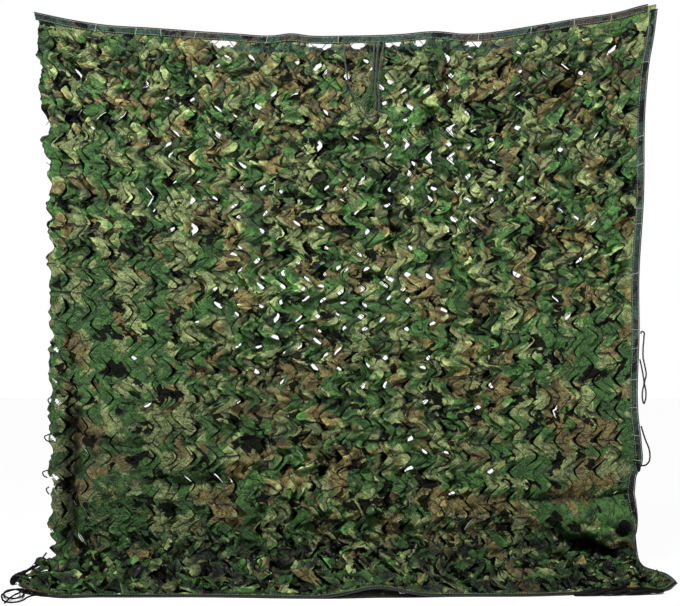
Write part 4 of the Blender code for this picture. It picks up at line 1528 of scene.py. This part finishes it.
def add_strip(kind, seed):
    points, out, normal = edge_line(kind)
    along = distance_along(points)
    mouth, fold = BINDING_COVER - BINDING_WIDTH, BINDING_COVER
    rings = []
    for share, side, thick in STRIP_SECTION:
        ragged = 0.0010 * value_noise(along, np.full_like(along, share), 0.035, seed)
        pucker = 0.0006 * value_noise(along, np.full_like(along, share * 0.02), 0.016, seed + 1)
        reach = mouth + (fold - mouth) * share + (ragged if share < 0.1 else 0)
        rise = side * thick * STRIP_HALF + pucker
        rings.append(points + out * np.reshape(reach, (-1, 1)) + normal * np.reshape(rise, (-1, 1)))
    rings = np.stack(rings, axis=1)
    count, around = rings.shape[:2]
    faces = faces_between(count, around)
    ends = []
    last = (count - 1) * around
    for corner in range(around // 2):
        far = around - 1 - corner
        if far - corner > 1:
            ends.append((corner, corner + 1, far - 1, far))
            ends.append((last + far, last + far - 1, last + corner + 1, last + corner))
    faces = np.vstack([faces, np.array(ends)])
    shares = np.array([BINDING_WIDTH * share * side for share, side, _ in STRIP_SECTION])
    flat = np.stack(
        np.broadcast_arrays(along[:, None], shares[None, :] + 0.3 * seed, np.zeros((1, 1))), axis=-1
    ).reshape(-1, 3)
    height = rings[:, :, 2].ravel() + DROP
    # Painted shade on the right strip where it looks turned under.
    painted_shade_band = smoothstep(height, *PAINTED_SHADE_LOW) * (1 - smoothstep(height, *PAINTED_SHADE_HIGH))
    shade = 1 - 0.85 * painted_shade_band * (kind == "right")
    attributes = {"flat": flat, "cut": np.full(len(flat), UNCUT), "shade": shade}
    material = painted_shade_foot_material if kind == "foot" else binding_material
    piece = build(kind + "_strip", rings.reshape(-1, 3), faces, material, attributes)
    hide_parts(kind + "_binding")
    return points, out, normal, along


def add_edge_rope(kind, points, out, normal):
    """The cord along a strip's outer side."""
    line = points + out * (BINDING_COVER + GAP + EDGE_CORD_DIAMETER / 2)
    along = distance_along(line)
    even = np.linspace(0, along[-1], round(along[-1] / EDGE_CORD_STEP))
    line, facing = sample(even, along, line), sample(even, along, normal)
    strands = tube(line, EDGE_CORD_DIAMETER / 2, 8, facing, strands=3)
    piece = build_tubes(kind + "_rope", [strands], edge_rope)
    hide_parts(kind + "_cord")


def add_stitches(kind, points, out, normal, along):
    """A line of thread along the strip's front, near its mouth."""
    parts = []
    reach = BINDING_COVER - BINDING_WIDTH + STITCH_INSET
    places, lift = np.array(STITCH).T
    for start in np.arange(STITCH_MARGIN, along[-1] - STITCH_MARGIN, STITCH_PITCH):
        spots = start + places
        line, outs, ups = (sample(spots, along, values) for values in (points, out, normal))
        parts.append(tube(line + outs * reach + ups * lift[:, None], THREAD, 6, ups))
    build_tubes(kind + "_stitches", parts, pale_thread)


strips = {}
for strip_kind, strip_seed in (("top", 31), ("right", 33), ("foot", 35)):
    line, line_out, line_normal, line_along = add_strip(strip_kind, strip_seed)
    strips[strip_kind] = (line, line_out, line_normal, line_along)
    add_edge_rope(strip_kind, line, line_out, line_normal)
    add_stitches(strip_kind, line, line_out, line_normal, line_along)

# Pale ties round the right strip and the top one: how far along each it is.
TIES = {
    "right": [0.17, 0.41, 0.50, 0.64, 0.69, 0.85, 1.03, 1.09, 1.19, 1.28, 1.37, 1.45],
    "top": [0.20, 0.33, 0.41, 0.52, 0.75, 0.98, 1.43, 1.60, 1.74, 1.86],
}


def squared(value):
    """Turns a circle's sine or cosine into that of a box with round corners."""
    return np.sign(value) * np.abs(value) ** 0.5


def add_ties(kind):
    """Turns of thread round a strip and its cord."""
    line, out, normal, along = strips[kind]
    rng = np.random.default_rng(41 if kind == "top" else 43)
    parts = []
    turn = np.linspace(0, 2 * math.pi, 17)
    reach = BINDING_COVER - BINDING_WIDTH / 2 + TIE_REACH * squared(np.cos(turn))
    rise = TIE_RISE * squared(np.sin(turn))
    for place in TIES[kind]:
        lean = rng.uniform(-TIE_LEAN, TIE_LEAN)
        spots = place + lean * np.cos(turn)
        centre, outs, ups = (sample(spots, along, values) for values in (line, out, normal))
        parts.append(tube(centre + outs * reach[:, None] + ups * rise[:, None], TIE, 6))
    build_tubes(kind + "_ties", parts, pale_thread)


for tie_kind in ("right", "top"):
    add_ties(tie_kind)

# ---------------------------------------------------------------- the string net behind

NET_PITCH = 0.062  # a side of a mesh
DIAGONAL = 1.4142  # from corner to corner of a mesh, for each unit of its side
NET_BEHIND = 0.0075  # how far behind the cloth
NET_INSET = 0.012  # of the strings' ends from the cloth's edges
# Radii of the net's strings behind the cloth, at the left corner and past the unbound side.
STRING, CORNER_STRING, LOOP_STRING = 0.0011, 0.0026, 0.0021
CORNER_LEAN = 0.045  # how far to each side a corner string runs from its place on the border
CORNER_REACH = 0.05  # and how far in
CORNER_SAG = 0.004
CORNER_CLEAR = 0.0016  # above the floor
STRING_OVER = 0.0012  # how much higher every second string is where they cross
WOUND_CLEAR = 0.0005  # between a wound cord and the floor
NET_STEP = 0.004  # between the rings of a border's or wound cord's mesh
LOOP_STEP = 0.003  # and of the meshes' past the unbound side
LOOP_HALF = 0.012  # half the height of such a mesh
LOOP_TUCK = 0.006  # how far its ends lie in from the cloth's edge


def corner_strings():
    """The net's meshes between its border cord and the cloth, at the left corner on the floor."""
    border = smooth_route(CORNER_BORDER, NET_STEP)
    floor = np.linspace(0.02, 0.62, 400)
    cloth_side = surface(0.004, 1 + floor)
    parts = []
    stops = np.linspace(0.08, 0.92, 10)
    for index, share in enumerate(stops):
        start = border[int(share * (len(border) - 1))]
        for lean in (-CORNER_LEAN, CORNER_LEAN):
            target = start + np.array([CORNER_REACH, -lean, 0.0])
            end = cloth_side[np.argmin(np.linalg.norm(cloth_side[:, :2] - target[:2], axis=1))]
            share_along = np.linspace(0, 1, 9)[:, None]
            line = start * (1 - share_along) + end * share_along
            line[:, 2] -= CORNER_SAG * np.sin(math.pi * share_along[:, 0])
            lowest = CORNER_CLEAR - DROP + STRING_OVER * (index % 2)
            line[:, 2] = np.maximum(line[:, 2], lowest)
            parts.append(tube(line, CORNER_STRING, 6))
    return parts


def wound(route, strands, radius, apart, pitch):
    """Cords wound loosely round a route."""
    points = smooth_route(route, NET_STEP)
    along = distance_along(points)
    ahead = unit(np.gradient(points, axis=0))
    sideways = unit(np.cross(ahead, (0, 0, 1)))
    upward = np.cross(sideways, ahead)
    parts = []
    for index in range(strands):
        turn = 2 * math.pi * (along / pitch + index / strands)
        offset = np.cos(turn)[:, None] * sideways + np.sin(turn)[:, None] * upward
        ends = np.sin(math.pi * along / along[-1]) ** 0.5
        line = points + apart * ends[:, None] * offset
        line[:, 2] = np.maximum(line[:, 2], radius + WOUND_CLEAR - DROP)
        parts.append(tube(line, radius, 6))
    return parts


# Black cords gathered along the foot at its right and left ends, and knotted at the bound side:
# x, reach in front of the hanging plane, and height above the floor.
RIGHT_GATHER = [
    (0.660, 0.428, 0.005),
    (0.730, 0.424, 0.012),
    (0.800, 0.418, 0.014),
    (0.870, 0.408, 0.013),
    (0.925, 0.396, 0.008),
]
LEFT_GATHER = [
    (-0.862, 0.440, 0.005),
    (-0.900, 0.420, 0.006),
    (-0.938, 0.392, 0.007),
    (-0.962, 0.372, 0.006),
]
KNOT = [
    (0.934, 0.010, 0.330),
    (0.935, 0.010, 0.322),
    (0.936, 0.010, 0.312),
]


# Route, number of cords, a cord's radius, how far it lies from the route, and length of a turn.
WOUND_CORDS = [
    (RIGHT_GATHER, 4, 0.0042, 0.0072, 0.260),
    (LEFT_GATHER, 3, 0.0030, 0.0044, 0.090),
    (CORNER_BORDER[2:-1], 2, 0.0022, 0.0026, 0.060),
    (KNOT, 3, 0.0026, 0.0044, 0.012),
]

# Meshes of the net that show past the unbound side: height, and how far out.
EDGE_LOOPS = [(0.418, 0.010), (0.303, 0.010), (0.536, 0.003), (0.250, 0.004)]


def edge_loops():
    parts = []
    for height, out in EDGE_LOOPS:
        left = float(left_side(np.array([height]))[0])
        corners = [
            (left + LOOP_TUCK, 0.002, height + LOOP_HALF),
            (left - out, -0.002, height + 0.003),
            (left - out + 0.004, -0.002, height - 0.006),
            (left + LOOP_TUCK, 0.002, height - LOOP_HALF),
        ]
        parts.append(tube(smooth_route(corners, LOOP_STEP), LOOP_STRING, 6))
    return parts


def add_string_net():
    """Strings that cross behind the cloth in diamonds and are held at its edges."""
    parts = []
    run_end = HUNG_RUN + FLOOR_RUN - NET_INSET
    for way in (1, -1):
        starts = np.arange(-run_end, CLOTH_WIDTH + run_end, NET_PITCH * DIAGONAL)
        for start in starts:
            run = np.linspace(NET_INSET, run_end, 110)
            across = start + (run if way == 1 else run_end - run)
            keep = (across > 0.004) & (across < CLOTH_WIDTH - NET_INSET)
            if np.count_nonzero(keep) < 4:
                continue
            run, across = run[keep], across[keep]
            across = across + 0.004 * value_noise(across, run, 0.05, 51 + (way > 0))
            across = np.clip(across, 0.002, CLOTH_WIDTH - 0.010)
            share = across / CLOTH_WIDTH
            centre = surface(share, down_share(run))
            right = surface(share + 0.002, down_share(run)) - centre
            down = surface(share, down_share(np.minimum(run + 0.004, run_end + 0.01))) - centre
            normal = unit(np.cross(unit(down), unit(right)))
            behind = NET_BEHIND + 0.003 * value_noise(across, run, 0.07, 55)
            held = smoothstep(run, 0.0, 0.05)
            line = centre - normal * (behind * held)[:, None]
            line[:, 2] = np.maximum(line[:, 2], STRING - DROP)
            parts.append(tube(line, STRING, 5, normal))
    parts += corner_strings() + edge_loops()
    for cords in WOUND_CORDS:
        parts += wound(*cords)
    build_tubes("string_net", parts, net_string)


add_string_net()

# ---------------------------------------------------------------- floor and light


FLOOR_HALF = 8.0
# The floor is shaded near the net only, and away from it the camera sees white. The shaded part's
# half width at the hanging plane, and what each metre behind and before it adds.
SHADED_HALF, WIDER_BEHIND, WIDER_BEFORE = 0.930, 0.2067, 0.22
# Where it fades into the white: past its half width, before the hanging plane, and behind it.
FADE_BESIDE, FADE_BEFORE, FADE_BEHIND = (-0.030, -0.015), (-0.46, -0.54), (0.7, 1.6)
WHITE_SHARE = 0.97


def add_stage():
    mesh = bpy.data.meshes.new("floor")
    half, level = FLOOR_HALF, -DROP
    mesh.from_pydata(
        [(-half, -half, level), (half, -half, level), (half, half, level), (-half, half, level)],
        [],
        [(0, 1, 2, 3)],
    )
    floor = bpy.data.objects.new("floor", mesh)
    bpy.context.scene.collection.objects.link(floor)
    nodes = Nodes("floor")
    place = nodes.add("ShaderNodeTexCoord").outputs["Object"]
    speckle = nodes.noise(place, 4.0, 2.0)
    colour = nodes.mix(speckle, (0.86, 0.86, 0.86, 1), (0.90, 0.90, 0.90, 1))
    nodes.finish(colour, speckle, 0.0, 0.8, 0.1)
    split = nodes.split(place)
    widths = [
        nodes.math("MULTIPLY_ADD", split["Y"], wider, SHADED_HALF)
        for wider in (WIDER_BEHIND, -WIDER_BEFORE)
    ]
    beside = nodes.math("ABSOLUTE", split["X"])
    beside = nodes.math("SUBTRACT", beside, nodes.math("MAXIMUM", *widths))
    beside = nodes.step(beside, *FADE_BESIDE)
    before = nodes.step(split["Y"], *FADE_BEFORE)
    behind = nodes.step(split["Y"], *FADE_BEHIND)
    away = nodes.math("MAXIMUM", nodes.math("MAXIMUM", beside, before), behind)
    glow = nodes.add("ShaderNodeEmission", {"Color": (1, 1, 1, 1)})
    seen_by = nodes.add("ShaderNodeLightPath").outputs["Is Camera Ray"]
    share = nodes.math("MULTIPLY", nodes.math("MULTIPLY", seen_by, away), WHITE_SHARE)
    inputs = {0: share, 1: nodes.shader.outputs[0], 2: glow.outputs[0]}
    mixed = nodes.add("ShaderNodeMixShader", inputs).outputs[0]
    nodes.tree.links.new(mixed, nodes.tree.nodes["Material Output"].inputs["Surface"])
    mesh.materials.append(nodes.material)


add_stage()


def add_area(name, place, target, size, power):
    data = bpy.data.lights.new(name, "AREA")
    data.shape = "RECTANGLE"
    data.size, data.size_y = size
    data.energy = power
    light = bpy.data.objects.new(name, data)
    light.location = place
    way = Vector(target) - Vector(place)
    light.rotation_euler = way.to_track_quat("-Z", "Y").to_euler()
    bpy.context.scene.collection.objects.link(light)


add_area("key", (-0.8, -2.9, 3.1), (0.0, 0.0, -0.6), (1.0, 0.6), 470)
add_area("fill", (1.6, -3.4, 0.0), (0.0, 0.0, -0.9), (1.5, 1.5), 11)

world = bpy.data.worlds.new("world")
bpy.context.scene.world = world
world.use_nodes = True
tree = world.node_tree
tree.nodes.clear()
output = tree.nodes.new("ShaderNodeOutputWorld")
mixer = tree.nodes.new("ShaderNodeMixShader")
path = tree.nodes.new("ShaderNodeLightPath")
tree.links.new(path.outputs["Is Camera Ray"], mixer.inputs[0])
# What lights the net from all round, and the white that is seen behind it.
for mixer_input, sky_colour, strength in ((1, (0.95, 0.98, 1.0, 1), 0.015), (2, (1, 1, 1, 1), 1.0)):
    sky = tree.nodes.new("ShaderNodeBackground")
    sky.inputs["Color"].default_value = sky_colour
    sky.inputs["Strength"].default_value = strength
    tree.links.new(sky.outputs[0], mixer.inputs[mixer_input])
tree.links.new(mixer.outputs[0], output.inputs[0])

bpy.context.scene.view_settings.view_transform = "Standard"
